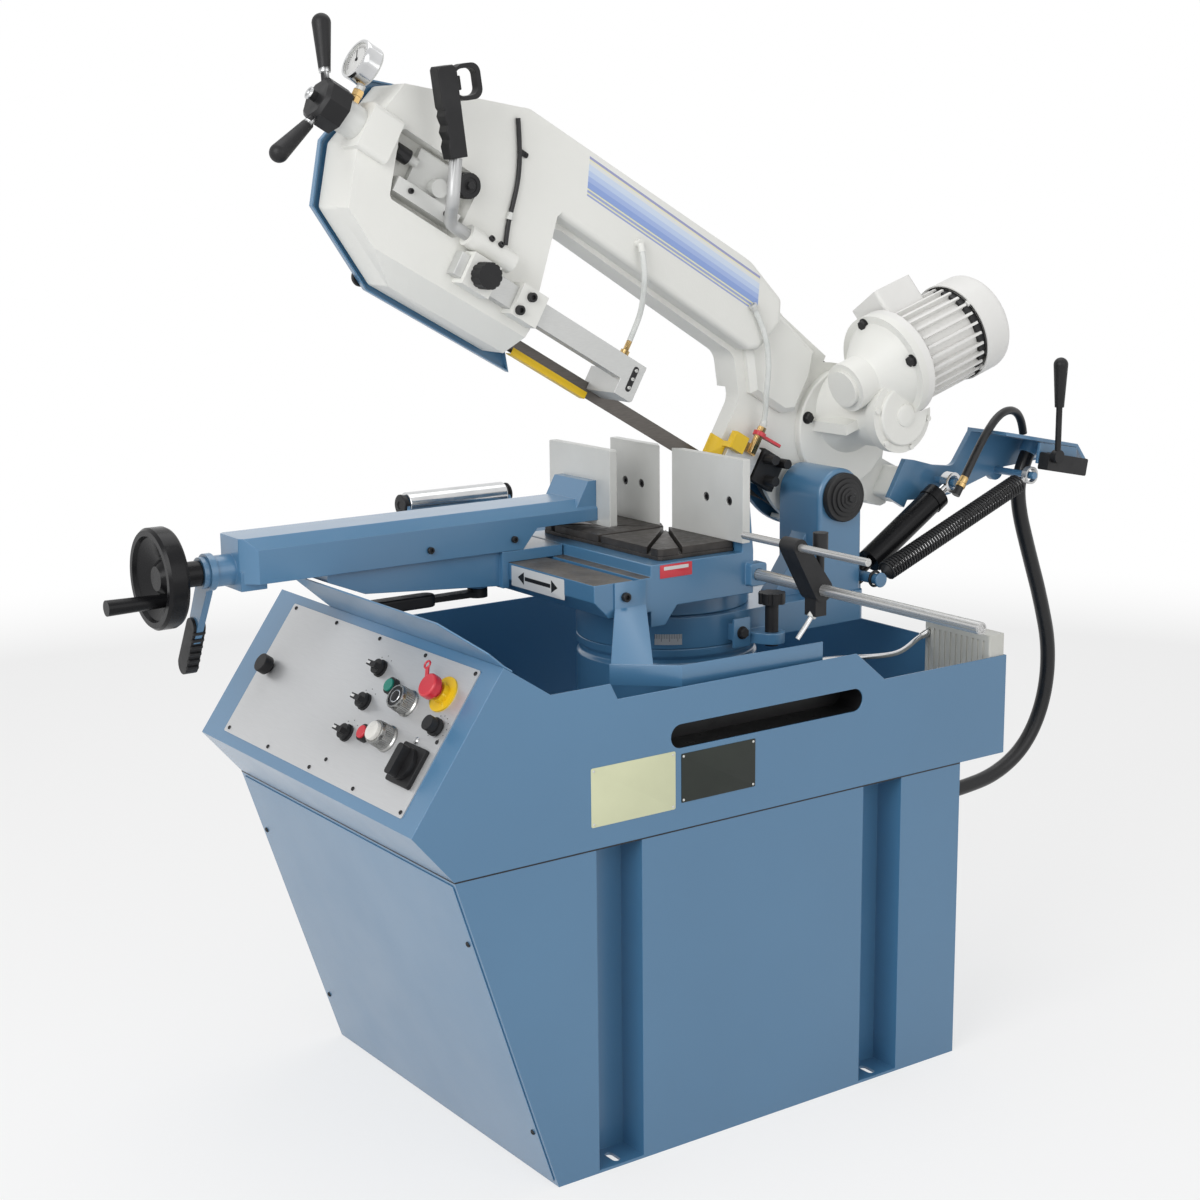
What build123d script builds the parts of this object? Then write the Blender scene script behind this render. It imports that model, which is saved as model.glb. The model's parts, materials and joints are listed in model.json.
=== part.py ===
from build123d import *
import math
import os

os.makedirs("parts", exist_ok=True)

# Mitre band saw, in millimetres. The origin is the middle of the floor face.
# X runs from the control panel to the bow pivot, the open long side is at -Y, Z is up.

# Play between pieces
fit_play = 0.05
slide_play = 0.3

# Pedestal
base_half_width = 372.5
base_toe_x = -411.0
base_brow_x = -593.0
base_back_x = 475.0
base_height = 560.0
sheet = 3.0
foot_plate = 5.0
channel_x = 285.0
channel_width = 90.0
channel_depth = 60.0
anchor_slot_y = 345.0
anchor_slot_width = 14.0
anchor_slot_length = 34.0

# Front access panel on the sloping front
front_panel_thickness = 2.0
front_panel_edge = 8.0
front_opening_margin = 62.0

# Chip tray with the control housing at its front end
tray_back_x = 586.0
panel_low_x = -666.0
panel_low_z = base_height + 85.0
panel_high_x = -497.0
panel_high_z = base_height + 323.0
cheek_back_x = -412.0
shelf_end_x = -299.0
shelf_z = base_height + 267.0
rim_start_x = -285.0
rim_end_x = 220.0
rim_z = base_height + 240.0
step_x = 286.0
back_rim_z = base_height + 185.0
partition_x = -480.0
side_slot_length = 415.0
side_slot_height = 40.0
side_slot_x = 27.5
side_slot_z = base_height + 158.0

# Control panel: places are (distance up the slope, y)
plate_low = 20.0
plate_high = 275.0
plate_near_y = -325.0
plate_far_y = 300.0
plate_thickness = 2.0
hood_width = 100.0
hood_far_y = 190.0
hood_corner = 80.0
selector_places = [(222.0, -66.0), (162.0, -72.0), (104.0, -70.0)]
start_place = (201.0, -128.0)
stop_place = (115.0, -124.0)
key_lamp_place = (186.0, -190.0)
pilot_lamp_place = (122.0, -186.0)
estop_place = (220.0, -266.0)
pot_place = (168.0, -297.0)
main_switch_place = (97.0, -276.0)
housing_knob_place = (153.0, 262.0)
button_radius = 11.0
button_travel = 4.0
estop_radius = 20.0
estop_travel = 5.0
lamp_radius = 20.0
lamp_height = 46.0
selector_radius = 13.0
switch_plate = 67.0
switch_plate_height = 8.0

# Turret, turntable and column
turret_x = 90.0
turret_radius = 165.0
turret_top_z = base_height + 235.0
turret_wall = 15.0
post_radius = 60.0
bed_bottom_z = base_height + 292.0
column_half = 52.0
column_near_y = -150.0
column_far_y = -38.0
pivot_x = 377.0
pivot_z = base_height + 469.0
pivot_radius = 25.0
pivot_cap_radius = 45.0
anchor_x = 450.0
anchor_z = base_height + 310.0
anchor_radius = 10.0
lock_knob_x = 173.0
lock_knob_y = -200.0
lock_stem_radius = 12.0
lock_lug_height = 20.0

# Vise bed, table and jaws
way_front_x = -209.0
way_back_x = -92.0
way_top_z = base_height + 385.0
way_bottom_z = base_height + 325.0
bed_back_x = 131.0
bed_half_y = 200.0
bed_block_z = base_height + 330.0
bed_top_z = base_height + 405.0
table_front_x = -58.0
table_half_y = 180.0
table_top_z = bed_top_z + 20.0
table_groove_width = 8.0
table_groove_depth = 13.0
table_slot_half = 11.0
table_plate_inset = 0.6
jaw_face_x = 90.0
jaw_thickness = 16.0
jaw_gap_half = 18.0
jaw_near_y = -220.0
jaw_far_y = 172.0
jaw_top_z = table_top_z + 145.0

# Vise carriage, beam and hand wheel
beam_near_y = 60.0
beam_far_y = 176.0
beam_top_z = base_height + 452.0
beam_step_x = -178.0
beam_step_z = base_height + 440.0
beam_end_x = -712.0
moving_jaw_face_x = -2.0
moving_jaw_near_y = 22.0
moving_jaw_far_y = 215.0
carriage_tip_x = -560.0
tongue_width = 60.0
tongue_height = 24.0
wheel_centre_z = base_height + 425.0
boss_radius = 26.0
boss_end_x = beam_end_x - 56.0
hand_wheel_radius = 83.0
hand_wheel_x = boss_end_x - 74.0
crank_radius = 40.0
crank_angle = 127.0
crank_length = 95.0

# Outfeed roller and length stop
roller_radius = 25.0
roller_low_x = -85.0
roller_high_x = 145.0
roller_y = 640.0
roller_pin_radius = 8.0
roller_arm_low_z = base_height + 335.0
roller_arm_high_z = base_height + 370.0
stop_rod_x = 131.0
stop_rod_z = base_height + 365.0
stop_rod_radius = 10.0
stop_rod_end_y = -750.0
stop_bar_x = 80.0
stop_bar_z = base_height + 443.0
stop_bar_radius = 6.5
stop_bar_tip_y = -235.0
stop_bar_length = 315.0
stop_clamp_y = -365.0

# Bow: (along, up) places are measured from the pivot with the blade level
bow_rest_angle = 30.0
web_near_y = -22.0
web_inner_y = -12.0
case_back_y = 38.0
rim_near_y = -62.0
cover_depth = 10.0
wheel_radius = 142.0
wheel_gap = 6.0
wheel_width = 28.0
wheel_near_y = -5.0
drive_along = 20.0
idler_along = -955.0
blade_width = 27.0
blade_thickness = 1.2
blade_low = -57.0
tension_up = 116.0
tension_y = -44.0
sleeve_end = -1160.0
sleeve_length = 36.0
gauge_up = tension_up + 86.0
gauge_radius = 32.0
gauge_depth = 30.0
star_hub_length = 44.0
gear_flange_along = 41.0
gear_flange_up = 148.0
gear_flange_radius = 113.0
gear_body_along = 32.0
gear_body_up = 184.0
gear_body_radius = 64.0
gear_cap_y = -168.0
motor_along = -2.0
motor_up = 264.0
motor_y = -130.0
motor_angle = 48.0
motor_radius = 80.0
motor_core = 165.0
motor_cowl = 66.0
guide_bar_low = -14.0
guide_bar_high = 26.0
guide_bar_thickness = 22.0
bracket_near_y = -76.0
bracket_thickness = 12.0
cylinder_y = -112.0
cylinder_pin_along = 275.0
cylinder_pin_up = 150.0
spring_y = -165.0
spring_pin_along = 413.0
spring_pin_up = 235.0
conduit_along = 447.0
conduit_y = -104.0
conduit_up = 290.0

blade_middle = blade_low + blade_width / 2
wheel_up = blade_middle + wheel_radius
case_radius = wheel_radius + wheel_gap
tray_floor_z = base_height + sheet
spring_radius = 19.5
hose_radius = 5.0
conduit_radius = 15.0


# Small makers used everywhere
def flat(outline):
    return make_face(Polyline(*outline, close=True))


def disc(centre, radius):
    return Pos(*centre) * Circle(radius)


def prism_y(face, y_low, y_high):
    return extrude(Plane.XZ.offset(-y_high) * face, amount=y_high - y_low)


def prism_x(face, x_low, x_high):
    return extrude(Plane.YZ.offset(x_low) * face, amount=x_high - x_low)


def prism_z(face, z_low, z_high):
    return extrude(Plane.XY.offset(z_low) * face, amount=z_high - z_low)


def block(x_low, x_high, y_low, y_high, z_low, z_high):
    size = Box(x_high - x_low, y_high - y_low, z_high - z_low)
    return Pos((x_low + x_high) / 2, (y_low + y_high) / 2, (z_low + z_high) / 2) * size


def rod(start, end, radius):
    axis = Vector(*end) - Vector(*start)
    upright = Cylinder(radius, axis.length, align=(Align.CENTER, Align.CENTER, Align.MIN))
    return Plane(origin=start, z_dir=axis).location * upright


def taper(start, end, start_radius, end_radius):
    axis = Vector(*end) - Vector(*start)
    upright = Cone(start_radius, end_radius, axis.length, align=(Align.CENTER, Align.CENTER, Align.MIN))
    return Plane(origin=start, z_dir=axis).location * upright


# A bent sheet's section: the polyline and its copy moved to the left by the thickness
def strip(points, thickness):
    moved = []
    for i, point in enumerate(points):
        before = points[max(i - 1, 0)]
        after = points[min(i + 1, len(points) - 1)]
        normals = []
        for a, b in ((before, point), (point, after)):
            run = math.dist(a, b)
            if run > 0:
                normals.append(((a[1] - b[1]) / run, (b[0] - a[0]) / run))
        nx = sum(n[0] for n in normals) / len(normals)
        ny = sum(n[1] for n in normals) / len(normals)
        spread = nx * nx + ny * ny
        moved.append((point[0] + thickness * nx / spread, point[1] + thickness * ny / spread))
    return flat(list(points) + moved[::-1])


# The corners of a face nearest to the given points
def corners(face, *points):
    return [face.vertices().sort_by_distance((x, y, 0))[0] for x, y in points]


def save(name, *shapes):
    solids = [solid for shape in shapes for solid in shape.solids()]
    whole = solids[0] if len(solids) == 1 else Compound(solids)
    export_step(whole, f"parts/{name}.step")


# Frames of the sloping control panel, the sloping front and the bow
panel_run = math.dist((panel_low_x, panel_low_z), (panel_high_x, panel_high_z))
panel_dir = ((panel_high_x - panel_low_x) / panel_run, (panel_high_z - panel_low_z) / panel_run)
panel_out = (-panel_dir[1], panel_dir[0])
panel_frame = Plane(
    origin=(panel_low_x, 0, panel_low_z),
    x_dir=(panel_dir[0], 0, panel_dir[1]),
    z_dir=(panel_out[0], 0, panel_out[1]),
).location
front_run = math.dist((base_toe_x, 0), (base_brow_x, base_height))
front_dir = ((base_brow_x - base_toe_x) / front_run, base_height / front_run)
front_frame = Plane(
    origin=(base_toe_x, 0, 0),
    x_dir=(front_dir[0], 0, front_dir[1]),
    z_dir=(-front_dir[1], 0, front_dir[0]),
).location
bow_frame_place = Pos(pivot_x, 0, pivot_z) * Rot(0, bow_rest_angle, 0)


# Pedestal: folded sheet box with two recessed channels on each long side
def make_pedestal():
    outline = [(base_toe_x, 0), (base_back_x, 0), (base_back_x, base_height), (base_brow_x, base_height)]
    outer = prism_y(flat(outline), -base_half_width, base_half_width)
    lean = (base_brow_x - base_toe_x) / base_height
    wall = sheet / front_dir[1]
    inner = prism_y(
        flat([
            (base_toe_x + lean * foot_plate + wall, foot_plate),
            (base_back_x - sheet, foot_plate),
            (base_back_x - sheet, base_height),
            (base_brow_x + wall, base_height),
        ]),
        -base_half_width + sheet,
        base_half_width - sheet,
    )
    half = channel_width / 2
    for x in (-channel_x, channel_x):
        for side in (-1, 1):
            deep = side * (base_half_width - channel_depth)
            mouth = side * base_half_width
            low, high = sorted((deep, mouth))
            outer -= block(x - half, x + half, low, high, foot_plate, base_height)
            back = side * (base_half_width - channel_depth - sheet)
            low, high = sorted((back, mouth))
            inner -= block(x - half - sheet, x + half + sheet, low, high, foot_plate, base_height)
            slot = Rot(0, 0, 90) * SlotOverall(anchor_slot_length, anchor_slot_width)
            outer -= prism_z(Pos(x, side * anchor_slot_y) * slot, 0, foot_plate)
    opening_y = base_half_width - front_opening_margin
    opening = block(front_opening_margin, front_run - front_opening_margin, -opening_y, opening_y, -20, 20)
    save("pedestal", outer - inner - front_frame * opening)


def make_front_access_panel():
    half = base_half_width - front_panel_edge
    plate = block(front_panel_edge, front_run - front_panel_edge, -half, half, 0, front_panel_thickness)
    save("front_access_panel", front_frame * fillet(plate.edges().filter_by(Axis.Z), 5))


# Chip tray: open sheet tray whose front end is the control housing
def make_chip_tray():
    outline = [
        (base_brow_x, base_height),
        (panel_low_x, panel_low_z),
        (panel_high_x, panel_high_z),
        (cheek_back_x, shelf_z),
        (shelf_end_x, shelf_z),
        (rim_start_x, rim_z),
        (rim_end_x, rim_z),
        (step_x, back_rim_z),
        (tray_back_x, back_rim_z),
        (tray_back_x, base_height),
    ]
    tray = prism_y(flat(outline), -base_half_width, base_half_width)
    inside_y = base_half_width - sheet
    tray -= block(partition_x + sheet, tray_back_x - sheet, -inside_y, inside_y, tray_floor_z, panel_high_z)
    cheek_fall = (panel_high_z - shelf_z) / (cheek_back_x - panel_high_x)
    crest_z = panel_high_z - (partition_x - panel_high_x) * cheek_fall
    housing = flat([
        (base_brow_x, base_height),
        (panel_low_x, panel_low_z),
        (panel_high_x, panel_high_z),
        (partition_x + sheet, crest_z),
        (partition_x + sheet, base_height),
    ])
    tray -= prism_y(offset(housing, amount=-sheet, kind=Kind.INTERSECTION), -inside_y, inside_y)
    margin = 2 * plate_low
    window = block(plate_low + margin / 2, plate_high - margin / 2, plate_near_y + margin / 2,
                   plate_far_y - margin / 2, -20, 20)
    tray -= panel_frame * window
    slot = Pos(side_slot_x, side_slot_z) * SlotOverall(side_slot_length, side_slot_height)
    tray -= prism_y(slot, -base_half_width, -inside_y)
    save("chip_tray", tray)


# Splash hood: folded sheet on the crest of the control housing, leaning over the panel
def make_panel_hood():
    crest_fall = (panel_high_z - shelf_z) / (cheek_back_x - panel_high_x)
    foot_x = panel_high_x + 15
    lean = (-0.755, 0.656)
    section = [
        (panel_high_x + lean[0] * hood_width, panel_high_z + lean[1] * hood_width),
        (panel_high_x, panel_high_z),
        (foot_x, panel_high_z - crest_fall * (foot_x - panel_high_x)),
    ]
    hood = prism_y(strip(section, sheet), -base_half_width, hood_far_y)
    edge_x, edge_z = section[0]
    cut = flat([(edge_x - 5, -base_half_width), (edge_x - 5, hood_corner - base_half_width),
                (edge_x + 50, -base_half_width)])
    save("panel_hood", hood - prism_z(cut, panel_high_z + 4, edge_z + 10))


def make_control_plate():
    plate = block(plate_low, plate_high, plate_near_y, plate_far_y, 0, plate_thickness)
    save("control_plate", panel_frame * fillet(plate.edges().filter_by(Axis.Z), 4))


def ring(place, radius, bore, low, high):
    along, y = place
    return rod((along, y, low), (along, y, high), radius) - rod((along, y, low), (along, y, high), bore)


# Fixed collars, lamps and plates on the control panel
def make_control_bezels():
    top = plate_thickness
    pieces = [ring(place, 15, 4 + fit_play, top, top + 4) for place in selector_places]
    pieces += [ring(place, 14.5, button_radius + fit_play, top, top + 10) for place in (start_place, stop_place)]
    for along, y in (key_lamp_place, pilot_lamp_place):
        foot = rod((along, y, top), (along, y, top + 4), lamp_radius + 2)
        barrel = rod((along, y, top + 4), (along, y, top + lamp_height), lamp_radius)
        recess = rod((along, y, top + lamp_height - 3), (along, y, top + lamp_height), lamp_radius - 4)
        pieces.append(foot + barrel - recess)
    yellow = ring(estop_place, 30, 11 + fit_play, top, top + 3)
    collar = ring(estop_place, 16, 11 + fit_play, top + 3, top + 14)
    pieces.append(yellow + collar)
    pieces.append(ring(pot_place, 12, 4 + fit_play, top, top + 4))
    along, y = main_switch_place
    half = switch_plate / 2
    base = block(along - half, along + half, y - half, y + half, top, top + switch_plate_height)
    base = fillet(base.edges().filter_by(Axis.Z), 5)
    base -= rod((along, y, top), (along, y, top + switch_plate_height), 6 + fit_play)
    pieces.append(base)
    along, y = housing_knob_place
    knob = rod((along, y, top), (along, y, top + 6), 10) + rod((along, y, top + 6), (along, y, top + 24), 17)
    pieces.append(knob)
    save("control_bezels", *[panel_frame * piece for piece in pieces])


def make_panel_controls():
    top = plate_thickness
    for name, (along, y) in zip(("selector_high", "selector_mid", "selector_low"), selector_places):
        knob = rod((along, y, top + 4 + slide_play), (along, y, top + 12), selector_radius)
        grip = block(along - 4.5, along + 4.5, y - selector_radius, y + selector_radius, top + 12, top + 23)
        stem = rod((along, y, top + 0.5), (along, y, top + 4 + slide_play), 4)
        save(name, panel_frame * (knob + grip + stem))
    for name, (along, y) in (("start_button", start_place), ("stop_button", stop_place)):
        cap = rod((along, y, top + button_travel + 1), (along, y, top + 14), button_radius)
        cap = fillet(cap.edges().sort_by(Axis.Z)[-1], 1.5)
        save(name, panel_frame * cap)
    along, y = estop_place
    stem = rod((along, y, top + estop_travel + 3), (along, y, top + 24), 11)
    head = rod((along, y, top + 24), (along, y, top + 38), estop_radius)
    head = fillet(head.edges().sort_by(Axis.Z)[-1], 4)
    save("estop_button", panel_frame * (stem + head))
    along, y = pot_place
    stem = rod((along, y, top + 0.5), (along, y, top + 4 + slide_play), 4)
    skirt = rod((along, y, top + 4 + slide_play), (along, y, top + 10), 15)
    cap = rod((along, y, top + 10), (along, y, top + 24), 12.5)
    save("pot_knob", panel_frame * (stem + skirt + cap))
    along, y = main_switch_place
    low = top + switch_plate_height + slide_play
    stem = rod((along, y, top + 1), (along, y, low), 6)
    dial = rod((along, y, low), (along, y, low + 8), 27)
    grip = block(along - 26, along + 26, y - 8, y + 8, low + 8, low + 24)
    save("main_switch_knob", panel_frame * (stem + dial + fillet(grip.edges().filter_by(Axis.Z), 6)))


# Turret drum with the centre post that carries the bed
def make_turret_base():
    wall = turret_radius - turret_wall
    section = flat([
        (wall, tray_floor_z),
        (turret_radius + 22, tray_floor_z),
        (turret_radius + 22, tray_floor_z + 16),
        (turret_radius, tray_floor_z + 24),
        (turret_radius, turret_top_z - 34),
        (turret_radius - 6, turret_top_z - 28),
        (turret_radius - 6, turret_top_z - 20),
        (turret_radius, turret_top_z - 14),
        (turret_radius, turret_top_z),
        (post_radius, turret_top_z),
        (post_radius, bed_bottom_z),
        (0, bed_bottom_z),
        (0, turret_top_z - turret_wall),
        (wall, turret_top_z - turret_wall),
    ])
    drum = revolve(Plane.XZ * section, Axis.Z)
    save("turret_base", Pos(turret_x, 0, 0) * drum)


# Turntable ring, arm and column in one casting, with the lugs for cylinder, spring and lock
def make_swivel_arm():
    low = turret_top_z + slide_play
    high = bed_bottom_z - slide_play
    foot = Pos(pivot_x + 3, (column_near_y + column_far_y) / 2) * RectangleRounded(110, 128, 18)
    plan = make_hull(disc((turret_x, 0), turret_radius).edges() + foot.edges())
    lock_lug = make_hull(
        disc((lock_knob_x, lock_knob_y), 2 * lock_stem_radius).edges()
        + disc((lock_knob_x - 25, lock_knob_y + 80), 40).edges()
    )
    arm = prism_z(plan, low, high) + prism_z(lock_lug, low, low + lock_lug_height)
    arm -= rod((turret_x, 0, low), (turret_x, 0, high), post_radius + fit_play)
    arm -= rod((lock_knob_x, lock_knob_y, low), (lock_knob_x, lock_knob_y, high), lock_stem_radius + fit_play)
    shaft_face = Pos(pivot_x, (high + pivot_z) / 2) * Rectangle(2 * column_half, pivot_z - high)
    column = prism_y(shaft_face + disc((pivot_x, pivot_z), column_half), column_near_y, column_far_y)
    column = fillet(column.faces().sort_by(Axis.Y)[0].edges().filter_by(GeomType.CIRCLE), 8)
    rib_far = pivot_x - column_half
    rib_y = (column_near_y + column_far_y) / 2
    rib = prism_y(flat([(rib_far - 80, high), (rib_far, high), (rib_far, high + 110)]), rib_y - 20, rib_y + 20)
    lug_near_y = cylinder_y + 12
    lug_face = Pos(anchor_x, (high + anchor_z) / 2) * Rectangle(50, anchor_z - high)
    lug = prism_y(lug_face + disc((anchor_x, anchor_z), 25), lug_near_y, lug_near_y + 24)
    lug += block(pivot_x + column_half, anchor_x + 25, lug_near_y, lug_near_y + 24, low, high)
    pin = rod((anchor_x, lug_near_y, anchor_z), (anchor_x, spring_y - 14, anchor_z), anchor_radius)
    pin += rod((anchor_x, spring_y - 14, anchor_z), (anchor_x, spring_y - 18, anchor_z), anchor_radius + 4)
    arm = arm + column + rib + lug + pin
    arm -= rod((pivot_x, column_near_y, pivot_z), (pivot_x, column_far_y, pivot_z), pivot_radius + fit_play)
    save("swivel_arm", arm)


def make_mitre_lock_knob():
    top = bed_bottom_z + 14
    stem = rod((lock_knob_x, lock_knob_y, turret_top_z - 5), (lock_knob_x, lock_knob_y, top), lock_stem_radius)
    head = disc((lock_knob_x, lock_knob_y), 24)
    for i in range(8):
        angle = math.radians(45 * i)
        head -= disc((lock_knob_x + 26 * math.cos(angle), lock_knob_y + 26 * math.sin(angle)), 5)
    save("mitre_lock_knob", stem + prism_z(head, top, top + 20))


# Bed casting: flange on the post, block under the table, vise way and jaw brackets
def make_vise_bed():
    bed = rod((turret_x, 0, bed_bottom_z), (turret_x, 0, bed_block_z), turret_radius - 15)
    body = block(way_back_x, bed_back_x, -bed_half_y, bed_half_y, bed_block_z, bed_top_z)
    way = block(way_front_x, way_back_x, -bed_half_y, bed_half_y, way_bottom_z, way_top_z)
    way = chamfer(way.edges().filter_by(Axis.Y).sort_by(Axis.Z)[:1], 30)
    slot_x = way_back_x - 30
    way -= block(slot_x - 7, slot_x + 7, -bed_half_y, bed_half_y, way_top_z - 14, way_top_z)
    gusset = flat([(way_back_x, bed_bottom_z + 6), (way_back_x + 30, bed_bottom_z + 6),
                   (way_back_x + 56, bed_block_z), (way_back_x, bed_block_z)])
    bed += body + way
    bed += prism_y(gusset, -bed_half_y, -bed_half_y + 14) + prism_y(gusset, bed_half_y - 14, bed_half_y)
    behind = jaw_face_x + jaw_thickness
    bed += block(behind, behind + 16, -bed_half_y, -bed_half_y + 95, bed_top_z, jaw_top_z - 55)
    rib = flat([(behind + 16, bed_top_z), (bed_back_x, bed_top_z), (behind + 16, jaw_top_z - 75)])
    bed += prism_y(rib, -bed_half_y, -bed_half_y + 18)
    bed += block(behind, behind + 16, 120, table_half_y, bed_top_z, bed_top_z + 35)
    boss = block(stop_rod_x - 18, stop_rod_x + 18, -bed_half_y - 15, -bed_half_y + 12,
                 stop_rod_z - 20, stop_rod_z + 20)
    bed += fillet(boss.edges().filter_by(Axis.Y), 5)
    bed -= rod((stop_rod_x, -bed_half_y - 15, stop_rod_z), (stop_rod_x, -bed_half_y, stop_rod_z),
               stop_rod_radius + fit_play)
    save("vise_bed", bed)


# Table: a slab with wear plates on it, parted by the blade grooves that fan out from the turret axis
def make_work_table():
    behind = jaw_face_x + jaw_thickness
    plate_foot_z = table_top_z - table_groove_depth
    plate_edge_y = table_half_y - table_plate_inset
    slab = block(table_front_x, behind, -table_half_y, table_half_y, bed_top_z, plate_foot_z)
    slab = chamfer(slab.edges().filter_by(Axis.Z), 6)
    plates = block(table_front_x + table_plate_inset, behind - table_plate_inset, -plate_edge_y, plate_edge_y,
                   plate_foot_z, table_top_z)
    plates = chamfer(plates.edges().filter_by(Axis.Z), 6)
    for angle in (180, 135, 225, 240):
        groove = block(-60, 320, -table_groove_width / 2, table_groove_width / 2, -table_groove_depth - 1, 1)
        plates -= Pos(turret_x, 0, table_top_z) * Rot(0, 0, angle) * groove
    plates -= block(turret_x + 9, behind, -table_slot_half, table_slot_half, plate_foot_z - 1, table_top_z + 1)
    save("work_table", slab, *plates.solids())


# Two jaw plates, bevelled behind so that the blade clears them at both mitre limits
def make_fixed_jaws():
    behind = jaw_face_x + jaw_thickness
    near_slope = jaw_gap_half + jaw_thickness
    far_slope = jaw_gap_half + jaw_thickness * math.tan(math.radians(60))
    near = flat([(jaw_face_x, -jaw_gap_half), (jaw_face_x, jaw_near_y), (behind, jaw_near_y),
                 (behind, -near_slope)])
    far = flat([(jaw_face_x, jaw_gap_half), (jaw_face_x, jaw_far_y), (behind, jaw_far_y), (behind, far_slope)])
    plates = []
    for face, places in ((near, (-118, -182)), (far, (75, 125))):
        plate = prism_z(face, table_top_z, jaw_top_z)
        for y in places:
            hole_z = (table_top_z + jaw_top_z) / 2 - 3
            plate -= rod((jaw_face_x, y, hole_z), (jaw_face_x + 8, y, hole_z), 8)
        plates.append(plate)
    save("fixed_jaws", *plates)


# Chip deflector: sheet hung on the bed's near corner, bent out to a strip above the tray rim
def make_chip_deflector():
    lug_y = -bed_half_y
    strip_z = rim_z + 30
    middle_x = (way_front_x + way_back_x) / 2 - 10
    section = strip([(lug_y - sheet, way_top_z), (lug_y - sheet, way_top_z - 48), (lug_y - 128, strip_z - 20)],
                    sheet)
    sheet_plate = prism_x(section, middle_x - 42, middle_x + 42)
    side_cut = flat([(middle_x - 42, 0), (middle_x - 42, way_top_z), (middle_x - 26, way_top_z)])
    sheet_plate -= prism_y(side_cut, lug_y - 140, lug_y)
    other_cut = flat([(middle_x + 42, 0), (middle_x + 42, way_top_z), (middle_x + 26, way_top_z)])
    sheet_plate -= prism_y(other_cut, lug_y - 140, lug_y)
    path = [(middle_x - 70, lug_y - 72), (middle_x + 18, lug_y - 152), (middle_x + 310, lug_y - 163)]
    edge = prism_z(strip(path, sheet), strip_z - 36, strip_z)
    save("chip_deflector", sheet_plate + edge)


# Outfeed roller on a bolted bracket behind the bed
def make_roller():
    roller_z = table_top_z - roller_radius
    arms = block(roller_low_x - 8 - slide_play, roller_high_x + 8 + slide_play, bed_half_y, bed_half_y + 8,
                 roller_arm_low_z, roller_arm_high_z)
    for low in (roller_low_x - 8 - slide_play, roller_high_x + slide_play):
        side = flat([(bed_half_y, roller_arm_low_z), (roller_y + 20, roller_arm_low_z), (roller_y + 20, roller_z),
                     (roller_y - 20, roller_z), (roller_y - 36, roller_arm_high_z),
                     (bed_half_y, roller_arm_high_z)])
        side = side + disc((roller_y, roller_z), 20)
        arm = prism_x(side, low, low + 8)
        arm -= rod((low, roller_y, roller_z), (low + 8, roller_y, roller_z), roller_pin_radius + fit_play)
        arms += arm
    save("roller_bracket", arms)
    roller = rod((roller_low_x, roller_y, roller_z), (roller_high_x, roller_y, roller_z), roller_radius)
    roller = fillet(roller.edges(), 2)
    roller += rod((roller_low_x - 8, roller_y, roller_z), (roller_high_x + 8, roller_y, roller_z),
                  roller_pin_radius)
    save("support_roller", roller)


# Length stop: fixed rod, clamp that slides on it and the thin bar in the clamp
def make_length_stop():
    start_y = -bed_half_y - 1
    bar = rod((stop_rod_x, start_y, stop_rod_z), (stop_rod_x, stop_rod_end_y, stop_rod_z), stop_rod_radius)
    save("stop_rod", chamfer(bar.edges().sort_by(Axis.Y)[:1], 1.5))
    tail_y = stop_bar_tip_y - stop_bar_length
    thin = rod((stop_bar_x, stop_bar_tip_y, stop_bar_z), (stop_bar_x, tail_y, stop_bar_z), stop_bar_radius)
    save("stop_bar", chamfer(thin.edges(), 1))
    outline = make_hull(disc((stop_rod_x, stop_rod_z), 20).edges() + disc((stop_bar_x, stop_bar_z), 14).edges())
    waist = disc((stop_rod_x + 12, (stop_rod_z + stop_bar_z) / 2 + 14), 22)
    clamp = prism_y(outline - waist, stop_clamp_y - 20, stop_clamp_y + 20)
    clamp += block(stop_rod_x - 12, stop_rod_x + 12, stop_clamp_y - 14, stop_clamp_y + 14,
                   stop_rod_z - 46, stop_rod_z - 15)
    screw_y = stop_clamp_y - 6
    clamp += rod((stop_rod_x + 4, screw_y, stop_rod_z + 14), (stop_rod_x + 4, screw_y, stop_rod_z + 62), 7)
    clamp += rod((stop_rod_x + 4, screw_y, stop_rod_z + 62), (stop_rod_x + 4, screw_y, stop_rod_z + 96), 13)
    ends = (stop_clamp_y - 30, stop_clamp_y + 30)
    clamp -= rod((stop_rod_x, ends[0], stop_rod_z), (stop_rod_x, ends[1], stop_rod_z), stop_rod_radius + fit_play)
    clamp -= rod((stop_bar_x, ends[0], stop_bar_z), (stop_bar_x, ends[1], stop_bar_z), stop_bar_radius + fit_play)
    save("stop_clamp", clamp)


# Ribbed mist reservoir standing in the tray's back corner
def make_mist_reservoir():
    back = tray_back_x - sheet
    near = -base_half_width + sheet
    depth = 38
    width = 168
    top = tray_floor_z + 222
    tank = block(back - depth, back, near, near + width, tray_floor_z, top)
    tank = fillet(tank.edges().filter_by(Axis.Z), 4)
    for i in range(11):
        y = near + 15 + i * 14
        tank -= block(back - depth, back - depth + 3, y - 3, y + 3, tray_floor_z + 12, top - 12)
    cap = rod((back - depth / 2, near + width / 2, top), (back - depth / 2, near + width / 2, top + 8), 12)
    save("mist_reservoir", tank + cap)


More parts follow.
